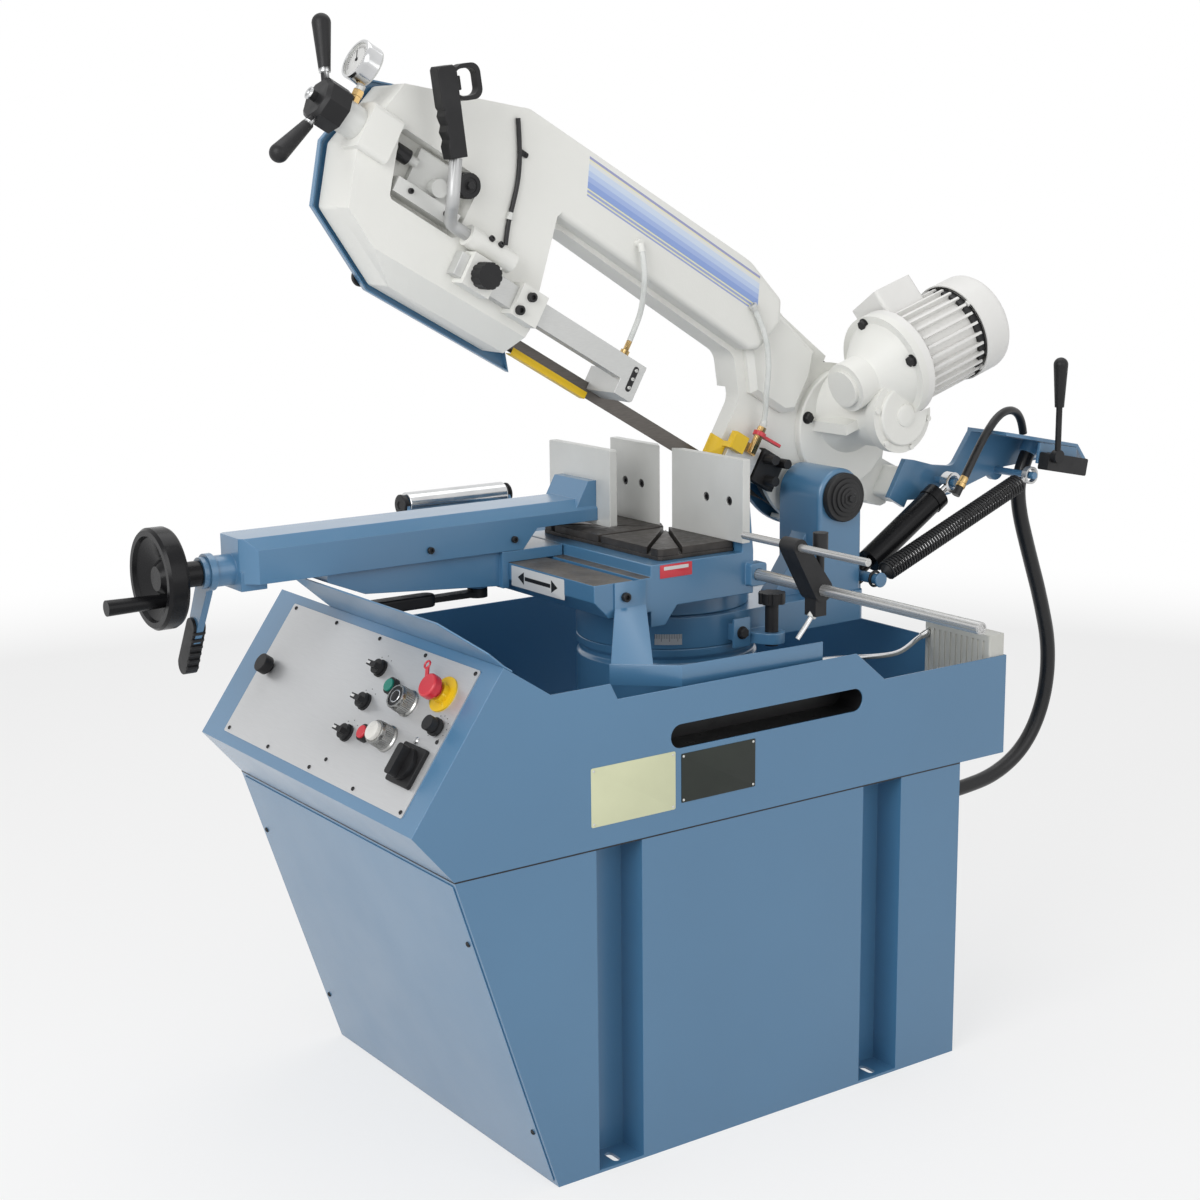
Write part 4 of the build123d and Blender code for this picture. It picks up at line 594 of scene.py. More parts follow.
# hoses and cables: each route repeats the points of its solid
hoseWork = {
    "bow_cable": {"node": "bow_hoses", "bodies": ["bow"], "radius": 0.004, "finish": "blackRubberAndShade",
                  "points": [(-0.884, -0.0663, 0.266), (-0.856, -0.0663, 0.224), (-0.836, -0.0663, 0.180),
                             (-0.826, -0.0663, 0.138), (-0.820, -0.0663, 0.108), (-0.808, -0.0663, 0.077)]},
    "fixed_guide_hose": {"node": "bow_hoses", "bodies": ["bow"], "radius": 0.005, "finish": "clearHose",
                         "points": [(-0.300, -0.068, 0.232), (-0.272, -0.070, 0.216), (-0.240, -0.072, 0.190),
                                    (-0.210, -0.070, 0.152), (-0.186, -0.062, 0.112), (-0.160, -0.050, 0.084),
                                    (-0.150, -0.046, 0.061)]},
    "feed_hose_run": {"node": "feed_hose", "bodies": ["bow"], "radius": 0.008, "finish": "blackRubberAndShade",
                      "points": [(0.414, -0.104, 0.319), (0.390, -0.108, 0.341), (0.346, -0.118, 0.342),
                                 (0.308, -0.128, 0.312), (0.288, -0.136, 0.258), (0.278, -0.142, 0.202),
                                 (0.272, -0.146, 0.160), (0.268, -0.147, 0.124)]},
    "guide_hose_run": {"node": "guide_hose", "bodies": ["bow", "guide arm"], "radius": 0.005, "finish": "clearHose",
                       "points": [(-0.564, -0.073, 0.196), (-0.552, -0.0775, 0.178), (-0.530, -0.074, 0.146),
                                  (-0.500, -0.050, 0.112), (-0.490, -0.038, 0.084), (-0.488, -0.0363, 0.063)]},
}
conduitWork = {"node": "rear_conduit", "radius": 0.015, "finish": "blackRubberAndShade", "stiffness": "stiff", "split": 4,
               "bowPoints": [(0.447, -0.104, 0.290), (0.447, -0.104, 0.240)],
               "points": [(0.886, -0.106, 0.950), (0.914, -0.110, 0.862), (0.952, -0.112, 0.760),
                          (0.984, -0.112, 0.650), (0.976, -0.110, 0.540), (0.930, -0.106, 0.452),
                          (0.850, -0.102, 0.404), (0.752, -0.100, 0.392), (0.652, -0.100, 0.3905),
                          (0.560, -0.100, 0.388), (0.484, -0.100, 0.384)]}


def hoseCurve(name, points, radius):
    curve = bpy.data.curves.new(name, "CURVE")
    curve.dimensions = "3D"
    spline = curve.splines.new("NURBS")
    spline.points.add(len(points) - 1)
    for knot, point in zip(spline.points, points):
        knot.co = (*point, 1)
    spline.order_u = 3
    spline.use_endpoint_u = True
    curve.resolution_u = 10
    curve.bevel_depth = radius
    curve.bevel_resolution = 5
    curve.use_fill_caps = True
    piece = bpy.data.objects.new(name, curve)
    sceneItems.link(piece)
    return piece


def centreLine(piece):
    bare = piece.data.copy()
    bare.bevel_depth = 0
    probe = bpy.data.objects.new("probe", bare)
    mesh = bpy.data.meshes.new_from_object(probe)
    line = [vertex.co.copy() for vertex in mesh.vertices]
    bpy.data.objects.remove(probe)
    return line


def hoseMesh(piece):
    makeActive(piece)
    bpy.ops.object.convert(target="MESH")
    smoothShade(piece, 40)
    return piece


def layHose(name, points, bodies, s):
    piece = hoseCurve(name, points, s["radius"])
    line = centreLine(piece)
    isBent = len(bodies) > 1
    if isBent:
        hoseMesh(piece)
    giveFinish(piece, finishes[s["finish"]])
    if isBent:
        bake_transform(piece)
    else:
        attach(piece, *bodies)
    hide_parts(s["node"])


def layConduit(s):
    points = [bowPoint(*point) for point in s["bowPoints"]] + [Vector(point) for point in s["points"]]
    upper, lower = points[:s["split"] + 1], points[s["split"] + 1:]
    meeting = (upper[-1] + lower[0]) / 2
    layHose("conduit_upper", upper + [meeting], ["bow", "turntable"], s)
    layHose("conduit_lower", [meeting] + lower, ["turntable", "base"], s)


for name, s in hoseWork.items():
    layHose(name, [bowPoint(*point) for point in s["points"]], s["bodies"], s)
layConduit(conduitWork)
print("hoses made")


# solids that keep their own mesh and only take a finish
plainNodes = {
    "blackPlastic": ["selector_high", "selector_mid", "selector_low", "pot_knob", "main_switch_knob",
                     "mitre_lock_knob",
                     "lock_lever", "guide_clamp_knob", "trigger", "flow_lever"],
    "redPlastic": ["stop_button", "estop_button", "valve_lever_left", "valve_lever_right"],
    "greenPlastic": ["start_button"], "chrome": ["support_roller", "cylinder_rod"],
    "rodSteel": ["stop_rod", "stop_bar", "spring_hook"], "wheelIron": ["drive_wheel", "idler_wheel"],
    "bladeSteel": ["blade"], "glossBlack": ["cylinder_barrel"], "panelAluminium": ["control_plate"],
}
for finish, nodes in plainNodes.items():
    for node in nodes:
        for materialSlot in frame["nodes"][node].material_slots:
            materialSlot.material = finishes[finish]
print("plain nodes finished:", sum(len(nodes) for nodes in plainNodes.values()))


# solids copied and given softened edges of these widths, so that they catch the light
softNodes = {
    "bluePaint": {"pedestal": 0.0030, "front_access_panel": 0.0008, "chip_tray": 0.0012, "panel_hood": 0.0012,
                  "turret_base": 0.0020, "swivel_arm": 0.0040, "vise_bed": 0.0030, "roller_bracket": 0.0015,
                  "vise_carriage": 0.0030, "vise_beam": 0.0040, "quick_lever": 0.0015},
    "tableIron": {"work_table": 0.0010}, "zincSteel": {"fixed_jaws": 0.0010, "movable_jaw": 0.0010},
    "castGrey": {"bow_frame": 0.0050, "gearbox": 0.0025}, "blackIronAndShade": {"pivot_shaft": 0.0015, "stop_clamp": 0.0015},
    "glossBlack": {"handwheel": 0.0012}, "blackPlastic": {"tension_star": 0.0010},
    "tankPlastic": {"mist_reservoir": 0.0012},
}
nodeBodies = {node: body for body, members in frame["record"]["behaviour"]["bodies"].items() for node in members}


def cleanCopy(node, name):
    piece = copyPiece(frame["nodes"][node], name)
    editAll(piece)
    bpy.ops.mesh.remove_doubles(threshold=0.00002)
    bpy.ops.mesh.dissolve_limited(angle_limit=math.radians(0.6))
    leaveEdit()
    return piece


def softenEdges(piece, width):
    applyModifier(piece, "BEVEL", width=width, segments=2, limit_method="ANGLE", angle_limit=math.radians(34))
    smoothShade(piece, 40)
    applyModifier(piece, "WEIGHTED_NORMAL", keep_sharp=True)


softPieces = {}
for finish, widths in softNodes.items():
    for node, width in widths.items():
        piece = cleanCopy(node, node + "_soft")
        softenEdges(piece, width)
        softPieces[node] = settle(piece, finish, nodeBodies[node], node)
print("softened nodes:", len(softPieces))


# bare and blackened spots on painted castings
spots = {"way": {"top": 0.945, "front": -0.209, "back": -0.092, "slack": 0.002},
         "roller": {"axis": (0.640, 0.960), "radius": 0.0225},
         "grip": {"top": (0.176, 0.885), "run": (0.4856, -0.8742), "edge": -0.0155},
         "neck": {"along": -1.194, "axis": (-0.044, 0.116), "reach": 0.030, "from": 0.0405, "to": 0.0500}}


def isWayTop(face):
    s, middle = spots["way"], face.center
    isTop = face.normal.z > 0.9 and abs(middle.z - s["top"]) < s["slack"]
    return isTop and s["front"] - s["slack"] < middle.x < s["back"]


def isRollerEnd(face):
    y, z = spots["roller"]["axis"]
    reach = math.hypot(face.center.y - y, face.center.z - z)
    return abs(face.normal.x) < 0.5 and reach < spots["roller"]["radius"]


def isGrip(face):
    (topY, topZ), (runY, runZ) = spots["grip"]["top"], spots["grip"]["run"]
    return (face.center.y - topY) * runY + (face.center.z - topZ) * runZ > spots["grip"]["edge"]


def isStarNeck(face):
    s = spots["neck"]
    along, y, up = bowLocal(face.center)
    radius = math.hypot(y - s["axis"][0], up - s["axis"][1])
    return s["from"] < radius < s["to"] and abs(along - s["along"]) < s["reach"]


paintFaces(softPieces["vise_bed"], "wayIron", isWayTop)
paintFaces(softPieces["roller_bracket"], "blackPlastic", isRollerEnd)
paintFaces(softPieces["quick_lever"], "blackPlastic", isGrip)
paintFaces(softPieces["tension_star"], "chrome", isStarNeck)
print("spots painted")


# places of the controls along and across the panel
selectors = {"selector high": (0.222, -0.066), "selector mid": (0.162, -0.072), "selector low": (0.104, -0.070)}
keyLamp, pilotLamp, smallLamp, dialKnob = (0.186, -0.190), (0.122, -0.186), (0.138, -0.261), (0.168, -0.297)

# solids of several pieces: each loose part goes to the named piece with the nearest middle.
# A piece has its finish, the width of its softened edges and its parts' middles on the bow or the panel
splitNodes = {
    "wheel_cover": {
        "cover_pan": ("bluePaint", 0.002, [(-0.54, 0.045, 0.11)]),
        "cover_knobs": ("blackPlastic", 0.002, [(-0.960, 0.0535, -0.066), (-0.700, 0.0535, 0.230),
                                                (-1.075, 0.0535, 0.120), (0.060, 0.0535, 0.0985)])},
    "tension_unit": {
        "idler_slide": ("zincSteel", 0.001, [(-1.014, -0.02, 0.098)]),
        "screw_bellows": ("blackRubberAndShade", 0, [(-1.0345, -0.044, 0.116)]),
        "tension_sleeve": ("zincSteel", 0.0008, [(-1.148, -0.044, 0.16)]),
        "pocket_knob": ("blackPlastic", 0.0012, [(-0.922, -0.063, 0.122)])},
    "guide_arm": {
        "guide_bar": ("groundSteel", 0.0012, [(-0.675, -0.035, -0.008)]),
        "blade_guard": ("yellowPaint", 0.0005, [(-0.594, -0.002, -0.050)]),
        "guide_valve": ("brassFitting", 0, [(-0.488, -0.036, 0.032)])},
    "fixed_guide": {
        "fixed_guide_block": ("groundSteel", 0.001, [(-0.16, -0.011, -0.009)]),
        "guide_shield": ("yellowPaint", 0, [(-0.210, -0.034, -0.007)]),
        "fixed_valve": ("brassFitting", 0, [(-0.150, -0.046, 0.031)]),
        "blade_brush": ("blackIronAndShade", 0.0015, [(-0.090, -0.044, -0.002)])},
    "bow_handle": {
        "handle_tube": ("silverPaint", 0, [(-0.935, -0.099, 0.095)]),
        "handle_grip": ("blackPlastic", 0.0012, [(-1.045, -0.122, 0.195)])},
    "motor": {
        "motor_body": ("motorWhite", 0.0012, [(0.062, -0.13, 0.335)]),
        "motor_cowl": ("motorWhite", 0.0015, [(0.130, -0.13, 0.411)])},
    "rear_bracket": {
        "rear_bracket_web": ("bluePaint", 0.0025, [(0.344, -0.12, 0.19)]),
        "feed_valve": ("blackIronAndShade", 0.0015, [(0.469, -0.182, 0.287)])},
    "control_bezels": {
        "selector_collars": ("blackPlastic", 0, [(*place, 0.004) for place in selectors.values()]),
        "button_collars": ("blackPlastic", 0, [(0.201, -0.128, 0.007), (0.115, -0.124, 0.007)]),
        "lamp_blanks": (None, 0, [(*keyLamp, 0.025), (*pilotLamp, 0.025)]),      # modelled anew below
        "estop_disc": ("yellowPaint", 0, [(0.220, -0.266, 0.009)]),
        "pot_collar": ("blackPlastic", 0, [(*dialKnob, 0.004)]),
        "switch_plate": ("blackPlastic", 0.001, [(0.097, -0.276, 0.006)]),
        "housing_knob": ("blackPlastic", 0.002, [(0.153, 0.262, 0.014)])},
}
splitPieces = {}


def splitNode(node, pieces, placeOf):
    whole = cleanCopy(node, node + "_parts")
    editAll(whole)
    bpy.ops.mesh.separate(type="LOOSE")
    leaveEdit()
    middles = [(name, placeOf(*place)) for name, (_, _, places) in pieces.items() for place in places]
    groups = {}
    for part in list(bpy.context.selected_objects):
        middle = middleOf(part)
        name = min(middles, key=lambda entry: (entry[1] - middle).length)[0]
        groups.setdefault(name, []).append(part)
    for name, parts in groups.items():
        finish, width, _ = pieces[name]
        piece = joinPieces(parts, name)
        if finish is None:
            bpy.data.objects.remove(piece)
            continue
        if width:
            softenEdges(piece, width)
        else:
            smoothShade(piece)
        splitPieces[name] = settle(piece, finish, nodeBodies[node], node)
    print(node, "split into", sorted(groups))


for node, pieces in splitNodes.items():
    splitNode(node, pieces, partial(slopePoint, panel) if node == "control_bezels" else bowPoint)


# bolts round the gearbox flange and the motor's foot
boltWork = {"gearCentre": (0.041, 0.148), "gearRadius": 0.098, "gearFace": -0.037, "gearTurns": (195, 288, 15),
            "motorFoot": (-0.002, -0.130, 0.264), "motorTurn": 48, "motorFace": -0.016, "motorRadius": 0.088,
            "motorTurns": (345, 75)}
motorRun = spokes([boltWork["motorTurn"]], 1)[0]


def gearBoltPlaces():
    s = boltWork
    along, up = s["gearCentre"]
    return [onBow(along + a, s["gearFace"], up + b) for a, b in spokes(s["gearTurns"], s["gearRadius"])]


def motorBoltPlaces():
    s = boltWork
    (along, y, up), (a, b) = s["motorFoot"], motorRun
    places = []
    for side, near in spokes(s["motorTurns"], s["motorRadius"]):
        point = bowPoint(along + a * s["motorFace"] - b * side, y - near, up + b * s["motorFace"] + a * side)
        places.append(facing(point, bowWay(-a, 0, -b)))
    return places


# bolts and screws: each head is modelled once and copied to its places
bossLean = bowWay(0, -0.77, 0.64)
fixingWork = {
    "gear_bolts": {"head": hexBolt, "size": 0.0100, "body": "bow", "places": gearBoltPlaces() + motorBoltPlaces()},
    "ring_plate_bolt": {"head": hexBolt, "size": 0.0100, "body": "turntable",
                        "places": [onNear(0.117, -0.1868, 0.818)]},
    "pocket_knob_bolt": {"head": hexBolt, "size": 0.0070, "body": "bow", "places": [onBow(-0.922, -0.0836, 0.122)]},
    "strap_screws": {"head": socketScrew, "size": 0.0080, "body": "bow",
                     "places": [onBow(-0.740, -0.0946, 0.019), onBow(-0.751, -0.0946, -0.010)]},
    "boss_screws": {"head": socketScrew, "size": 0.0052, "body": "bow",
                    "places": [facing(bowPoint(along, -0.0900, 0.0655), bossLean) for along in (-0.850, -0.830)]},
    "slide_screws": {"head": socketScrew, "size": 0.0046, "body": "bow",
                     "places": [onBow(along, -0.0620, 0.068) for along in (-1.002, -0.929)]},
    "deflector_screw": {"head": socketScrew, "size": 0.0080, "body": "base",
                        "places": [onNear(-0.148, -0.2030, 0.919)]},
    "beam_screws": {"head": socketScrew, "size": 0.0060, "body": "vise beam",
                    "places": [onNear(x, 0.0600, 0.985) for x in (-0.368, -0.198)]},
    "jaw_screws": {"head": socketScrew, "size": 0.0068, "body": "base",
                   "places": [facing((0.098, y, 1.0545), leftSide) for y in (-0.118, -0.182, 0.075, 0.125)]},
    "guide_end_screws": {"head": socketScrew, "size": 0.0029, "body": "guide arm", "finish": "zincSteel",
                         "places": [onBow(-0.484, -0.0850, up) for up in (-0.021, -0.005, 0.011)]},
    "cable_clip_screw": {"head": roundScrew, "size": 0.0034, "body": "bow",
                         "places": [onBow(-0.8415, -0.0662, 0.2225)]},
}
gridScrews = {
    "panel_screws": {"slope": panel, "size": 0.0036, "turn": 0.3, "along": (0.0285, 0.268),
                     "across": (0.286, 0.135, -0.016, -0.165, -0.316), "more": [(0.148, -0.3125), (0.0515, -0.051)]},
    "front_screws": {"slope": front, "size": 0.0048, "turn": 0.4, "along": (0.104, 0.470), "across": (-0.350, 0.350),
                     "more": []},
}
for name, s in gridScrews.items():
    spread = [(along, across) for along in s["along"] for across in s["across"]] + s["more"]
    places = [onSlope(s["slope"], a, y, turn=s["turn"] * i) for i, (a, y) in enumerate(spread)]
    fixingWork[name] = {"head": roundScrew, "size": s["size"], "body": "base", "places": places}
for name, s in fixingWork.items():
    setOn(s["head"](name, s["size"]), name, s["places"], s.get("finish", "blackIronAndShade"), s["body"])
print("bolts and screws set")


# bright tubes: the pipe on the tank and the nozzle under the length stop
tubeWork = {
    "mist_pipe": {"radius": 0.0048, "body": "base",
                  "points": [(0.146, -0.348, 0.7935), (0.192, -0.340, 0.789), (0.261, -0.325, 0.778),
                             (0.341, -0.300, 0.764), (0.411, -0.270, 0.753), (0.468, -0.238, 0.751),
                             (0.514, -0.215, 0.757), (0.546, -0.210, 0.764)]},
    "stop_nozzle": {"radius": 0.0044, "body": "stop clamp",
                    "points": [(0.127, -0.365, 0.884), (0.120, -0.3645, 0.874), (0.106, -0.3635, 0.857),
                               (0.093, -0.3625, 0.842)]},
}
for name, s in tubeWork.items():
    settle(hoseMesh(hoseCurve(name, s["points"], s["radius"])), "chrome", s["body"])
pipe, nozzle = (tubeWork[name]["points"] for name in ("mist_pipe", "stop_nozzle"))
print("tubes set")


# tension gauge: its face looks along the bow's nose
gaugeWork = {"place": (-1.1690, -0.044, 0.202), "radius": 0.0275, "ticks": 25, "from": 225, "sweep": -270,
             "tickRing": 0.80, "tickFoot": 0.0007, "needle": (0.0012, 0.024, 0.0005, 0.0004), "needleTurn": 35,
             "needleFoot": (0, 0.008, 0.0010), "boss": [(0.0032, 0.0006), (0.0032, 0.0018), (0.0024, 0.0022)],
             "bezel": [(0.0330, -0.024), (0.0330, -0.004), (0.0334, 0.002), (0.0325, 0.0042), (0.0288, 0.0042),
                       (0.0282, 0.0012)]}
noseWay = bowWay(-1, 0, 0)
gaugePlace = facing(bowPoint(*gaugeWork["place"]), noseWay)


def gaugeTickPlaces():
    s = gaugeWork
    foot = Matrix.Translation((0, s["radius"] * s["tickRing"], s["tickFoot"]))
    turns = [s["from"] + s["sweep"] * step / (s["ticks"] - 1) for step in range(s["ticks"])]
    return [gaugePlace @ Matrix.Rotation(math.radians(turn - 90), 4, "Z") @ foot for turn in turns]


def addGaugeParts():
    s = gaugeWork
    needle = platePiece("needle", *s["needle"])
    turn = Matrix.Rotation(math.radians(s["needleTurn"]), 4, "Z")
    needle.data.transform(turn @ Matrix.Translation(s["needleFoot"]))
    needle = joinPieces([needle, turnedPiece("needleBoss", s["boss"])], "gauge_needle")
    needle.data.transform(gaugePlace)
    settle(needle, "blackPlastic", "bow")
    bezel = turnedPiece("gaugeBezel", s["bezel"], 64)
    pickFaces(bezel, lambda face: abs(face.normal.z) > 0.9 and math.hypot(face.center.x, face.center.y) < 0.001)
    bpy.ops.mesh.delete(type="FACE")
    leaveEdit()
    bezel.data.transform(gaugePlace)
    settle(bezel, "chrome", "bow")


# small dots round the dial knob and the selectors
dotWork = {"dialTurns": range(-135, 136, 27), "dialRadius": 0.022, "selectorTurns": (-40.107, 0, 40.107),
           "selectorRadius": 0.024}


def dotPlaces():
    s = dotWork
    rings = [(dialKnob, s["dialTurns"], s["dialRadius"])]
    rings += [(place, s["selectorTurns"], s["selectorRadius"]) for place in selectors.values()]
    return [onSlope(panel, along + a, across + b) for (along, across), turns, radius in rings
            for a, b in spokes(turns, radius)]


# rivets in the corners of the two side plates, each given by its middle and the rivets' spread
rivetWork = {"y": -0.3733, "plates": [(-0.2555, 0.646, 0.157, 0.088), (-0.0825, 0.6465, 0.146, 0.074)]}
rivetPlaces = [onNear(x + wide / 2 * i, rivetWork["y"], z + high / 2 * j)
               for x, z, wide, high in rivetWork["plates"] for i in (-1, 1) for j in (-1, 1)]

# turned trim: the rings that a piece is drawn by, and where it goes
turnedWork = {
    "lamp_sleeves": {"finish": "knurlSteel", "body": "base", "sides": 144, "flutes": (0.0067, 0.0229, 36, 0.05),
                     "places": [onSlope(panel, *keyLamp), onSlope(panel, *pilotLamp)],
                     "rings": [(0.0228, 0), (0.0228, 0.0030), (0.0215, 0.0042), (0.0205, 0.0050), (0.0205, 0.0064),
                               (0.0210, 0.0068), (0.0208, 0.0228), (0.0203, 0.0232), (0.0203, 0.0288),
                               (0.0197, 0.0300), (0.0168, 0.0300), (0.0163, 0.0262)]},
    "key_insert": {"finish": "blackPlastic", "body": "base", "sides": 40, "places": [onSlope(panel, *keyLamp)],
                   "rings": [(0.0163, 0.0262), (0.0163, 0.0288), (0.0155, 0.0294), (0.0120, 0.0294),
                             (0.0112, 0.0280), (0.0090, 0.0280), (0.0084, 0.0302), (0.0045, 0.0308)]},
    "key_ring": {"finish": "chrome", "body": "base", "sides": 40, "places": [onSlope(panel, *keyLamp)],
                 "rings": [(0.0112, 0.0282), (0.0112, 0.0296), (0.0106, 0.0300), (0.0094, 0.0300), (0.0092, 0.0284)]},
    "pilot_lens": {"finish": "milkLens", "body": "base", "sides": 40, "places": [onSlope(panel, *pilotLamp)],
                   "rings": [(0.0162, 0.0262), (0.0162, 0.0330), (0.0152, 0.0358), (0.0112, 0.0378),
                             (0.0050, 0.0387)]},
    "small_lamp": {"finish": "chrome", "body": "base", "sides": 24, "places": [onSlope(panel, *smallLamp)],
                   "rings": [(0.0058, 0), (0.0058, 0.0024), (0.0050, 0.0032), (0.0036, 0.0032), (0.0034, 0.0016),
                             (0.0020, 0.0028)]},
    "dial_dots": {"finish": "blackPlastic", "body": "base", "sides": 12, "places": dotPlaces(),
                  "rings": [(0.0009, 0), (0.0009, 0.0003), (0.0007, 0.0004)]},
    "plate_rivets": {"finish": "zincSteel", "body": "base", "sides": 16, "places": rivetPlaces,
                     "rings": [(0.0022, 0), (0.0021, 0.0006), (0.0014, 0.0012)]},
    "gear_cap_boss": {"finish": "castGrey", "body": "bow", "sides": 40, "places": [onBow(0.032, -0.188, 0.184)],
                      "rings": [(0.0210, 0), (0.0205, 0.0030), (0.0180, 0.0042), (0.0100, 0.0048)]},
    "hub_ring": {"finish": "chrome", "body": "tension star", "sides": 32,
                 "places": [facing(bowPoint(-1.216, -0.044, 0.116), noseWay)],
                 "rings": [(0.0105, 0), (0.0105, 0.0016), (0.0095, 0.0024), (0.0070, 0.0024), (0.0066, 0.0006)]},
    "gauge_dial": {"finish": "whiteCard", "body": "bow", "sides": 48, "places": [gaugePlace],
                   "rings": [(gaugeWork["radius"] * share, height)
                             for share, height in ((1, 0), (1, 0.0005), (0.98, 0.0008))]},
    "gauge_stub": {"finish": "brassFitting", "body": "bow", "sides": 6,
                   "places": [facing(bowPoint(-1.144, -0.044, 0.1420), bowWay(0, 0, 1))],
                   "rings": [(0.0085, 0), (0.0085, 0.010), (0.0095, 0.0105), (0.0095, 0.0200), (0.0085, 0.0210)]},
    "pocket_knob_ribs": {"finish": "blackPlastic", "body": "bow", "sides": 144, "flutes": (0.001, 0.0170, 24, 0.05),
                         "places": [onBow(-0.922, -0.066, 0.122)],
                         "rings": [(0.0206, 0), (0.0212, 0.0015), (0.0212, 0.0165), (0.0200, 0.0186),
                                   (0.0130, 0.0190), (0.0124, 0.0176)]},
    # dark ring painted as the shade in the open gap between the motor's fins and its cowl
    "cowl_gap_shade": {"finish": "blackIronAndShade", "body": "bow", "sides": 56,
                 "places": [facing(bowPoint(*boltWork["motorFoot"]), bowWay(motorRun[0], 0, motorRun[1]))],
                 "rings": [(0.0865, 0.150), (0.0865, 0.1655), (0.0835, 0.1665)]},
    "mist_pipe_collars": {"finish": "chrome", "body": "base", "sides": 24,
                          "places": [facing(pipe[0], Vector(pipe[0]) - Vector(pipe[1])),
                                     pointing(pipe[-1], pipe[-2])],
                          "rings": [(0.0070, 0), (0.0070, 0.012), (0.0064, 0.013), (0.0064, 0.022), (0.0056, 0.024)]},
    "stop_nozzle_nut": {"finish": "zincSteel", "body": "stop clamp", "sides": 6, "places": [pointing(*nozzle[:2])],
                        "rings": [(0.0085, 0), (0.0085, 0.009), (0.0075, 0.010)]},
    "stop_rod_end": {"finish": "rodSteel", "body": "base", "sides": 40, "places": [onNear(0.131, -0.750, 0.925)],
                     "rings": [(0.0096, 0), (0.0096, 0.0012), (0.0088, 0.0020), (0.0066, 0.0020), (0.0062, 0.0004)]},
    "roller_caps": {"finish": "blackPlastic", "body": "base", "sides": 40,
                    "places": [facing((-0.0933, 0.640, 0.960), leftSide), facing((0.1533, 0.640, 0.960), rightSide)],
                    "rings": [(0.0218, 0), (0.0218, 0.0035), (0.0200, 0.0052), (0.0085, 0.0056), (0.0078, 0.0040)]},
}

# ferrules where hoses and the cable meet their fittings: start and next point on the bow, radius and length
ferruleWork = {"fixed": ((-0.300, -0.068, 0.232), (-0.272, -0.070, 0.216), 0.0078, 0.012),
               "fixedFoot": ((-0.150, -0.046, 0.061), (-0.160, -0.050, 0.084), 0.0074, 0.010),
               "feed": ((0.2700, -0.1465, 0.142), (0.272, -0.146, 0.160), 0.0096, 0.022),
               "cable": ((-0.8215, -0.0663, 0.116), (-0.825, -0.0663, 0.134), 0.0062, 0.012)}
ferruleShares = [(1, 0), (1, 0.35), (0.88, 0.42), (0.88, 0.9), (0.8, 1)]
for name, (start, end, radius, length) in ferruleWork.items():
    turnedWork[name + "_ferrule"] = {
        "finish": "brassFitting" if name == "feed" else "zincSteel", "body": "bow", "sides": 24,
        "places": [pointing(bowPoint(*start), bowPoint(*end))],
        "rings": [(radius * r, length * h) for r, h in ferruleShares]}
for name, s in turnedWork.items():
    shape = turnedPiece(name, s["rings"], s["sides"])
    if "flutes" in s:
        flutePiece(shape, *s["flutes"])
    setOn(shape, name, s["places"], s["finish"], s["body"])
addGaugeParts()
print("turned trim set")


# ribs along the quick lever's grip, each set out from a line that leans with it
ribWork = {"count": 6, "first": 0.04, "step": 0.18, "x": -0.752, "top": (0.176, 0.885), "run": (0.040, -0.072),
           "out": (-0.8742, -0.4856), "reach": 0.0120, "swell": 0.002}


def ribPlaces():
    s = ribWork
    places = []
    for step in range(s["count"]):
        share = s["first"] + s["step"] * step
        reach = s["reach"] + s["swell"] * share
        y, z = (s["top"][i] + s["run"][i] * share + s["out"][i] * reach for i in range(2))
        places.append(facing((s["x"], y, z), (0, *s["out"])))
    return places


# plain plates and bars: width, height, thickness, corner radius and lip
plateWork = {
    "side_card": {"finish": "paleCard", "body": "base", "size": (0.167, 0.098, 0.0008, 0.003, 0.00024),
                  "places": [onNear(-0.2555, -0.3725, 0.646)]},
    "side_plate": {"finish": "darkCard", "body": "base", "size": (0.155, 0.083, 0.0008, 0.002, 0.00024),
                   "places": [onNear(-0.0825, -0.3725, 0.6465)]},
    "bed_plate": {"finish": "redPlastic", "body": "base", "size": (0.068, 0.023, 0.0008, 0.0015, 0.00024),
                  "places": [onNear(-0.039, -0.200, 0.9515)]},
    "bed_plate_band": {"finish": "whiteCard", "body": "base", "size": (0.052, 0.006, 0.0004, 0.001),
                       "places": [onNear(-0.039, -0.2008, 0.9565)]},
    "way_plate": {"finish": "whiteCard", "body": "base", "size": (0.165, 0.036, 0.0008, 0.002, 0.00024),
                  "places": [facing((-0.2083, -0.0295, 0.9235), leftSide)]},
    "gauge_ticks": {"finish": "blackPlastic", "body": "bow", "size": (0.0007, 0.0045, 0.0003, 0.0001),
                    "places": gaugeTickPlaces()},
    "cable_clip": {"finish": "blackPlastic", "body": "bow", "size": (0.020, 0.009, 0.0022, 0.003, 0.0006),
                   "places": [onBow(-0.8475, -0.0640, 0.2225)]},
    "quick_grip_ribs": {"finish": "blackPlastic", "body": "quick lever",
                        "size": (0.0220, 0.0075, 0.0060, 0.0026, 0.0022), "places": ribPlaces()},
    "guide_end_slot": {"finish": "blackPlastic", "body": "guide arm", "size": (0.011, 0.046, 0.0010, 0.0050, 0.0003),
                       "places": [onBow(-0.484, -0.0842, -0.005)]},
}
pointerWork = {"size": (0.0100, 0.0042, 0.0009, 0.0008, 0.0003), "across": 0.0075, "out": 0.0249}
for body, (along, across) in selectors.items():
    place = onSlope(panel, along, across + pointerWork["across"], pointerWork["out"])
    plateWork[body.replace(" ", "_") + "_pointer"] = {"finish": "whiteCard", "body": body,
                                                      "size": pointerWork["size"], "places": [place]}
for name, s in plateWork.items():
    setOn(platePiece(name, *s["size"]), name, s["places"], s["finish"], s["body"])
print("plates set")


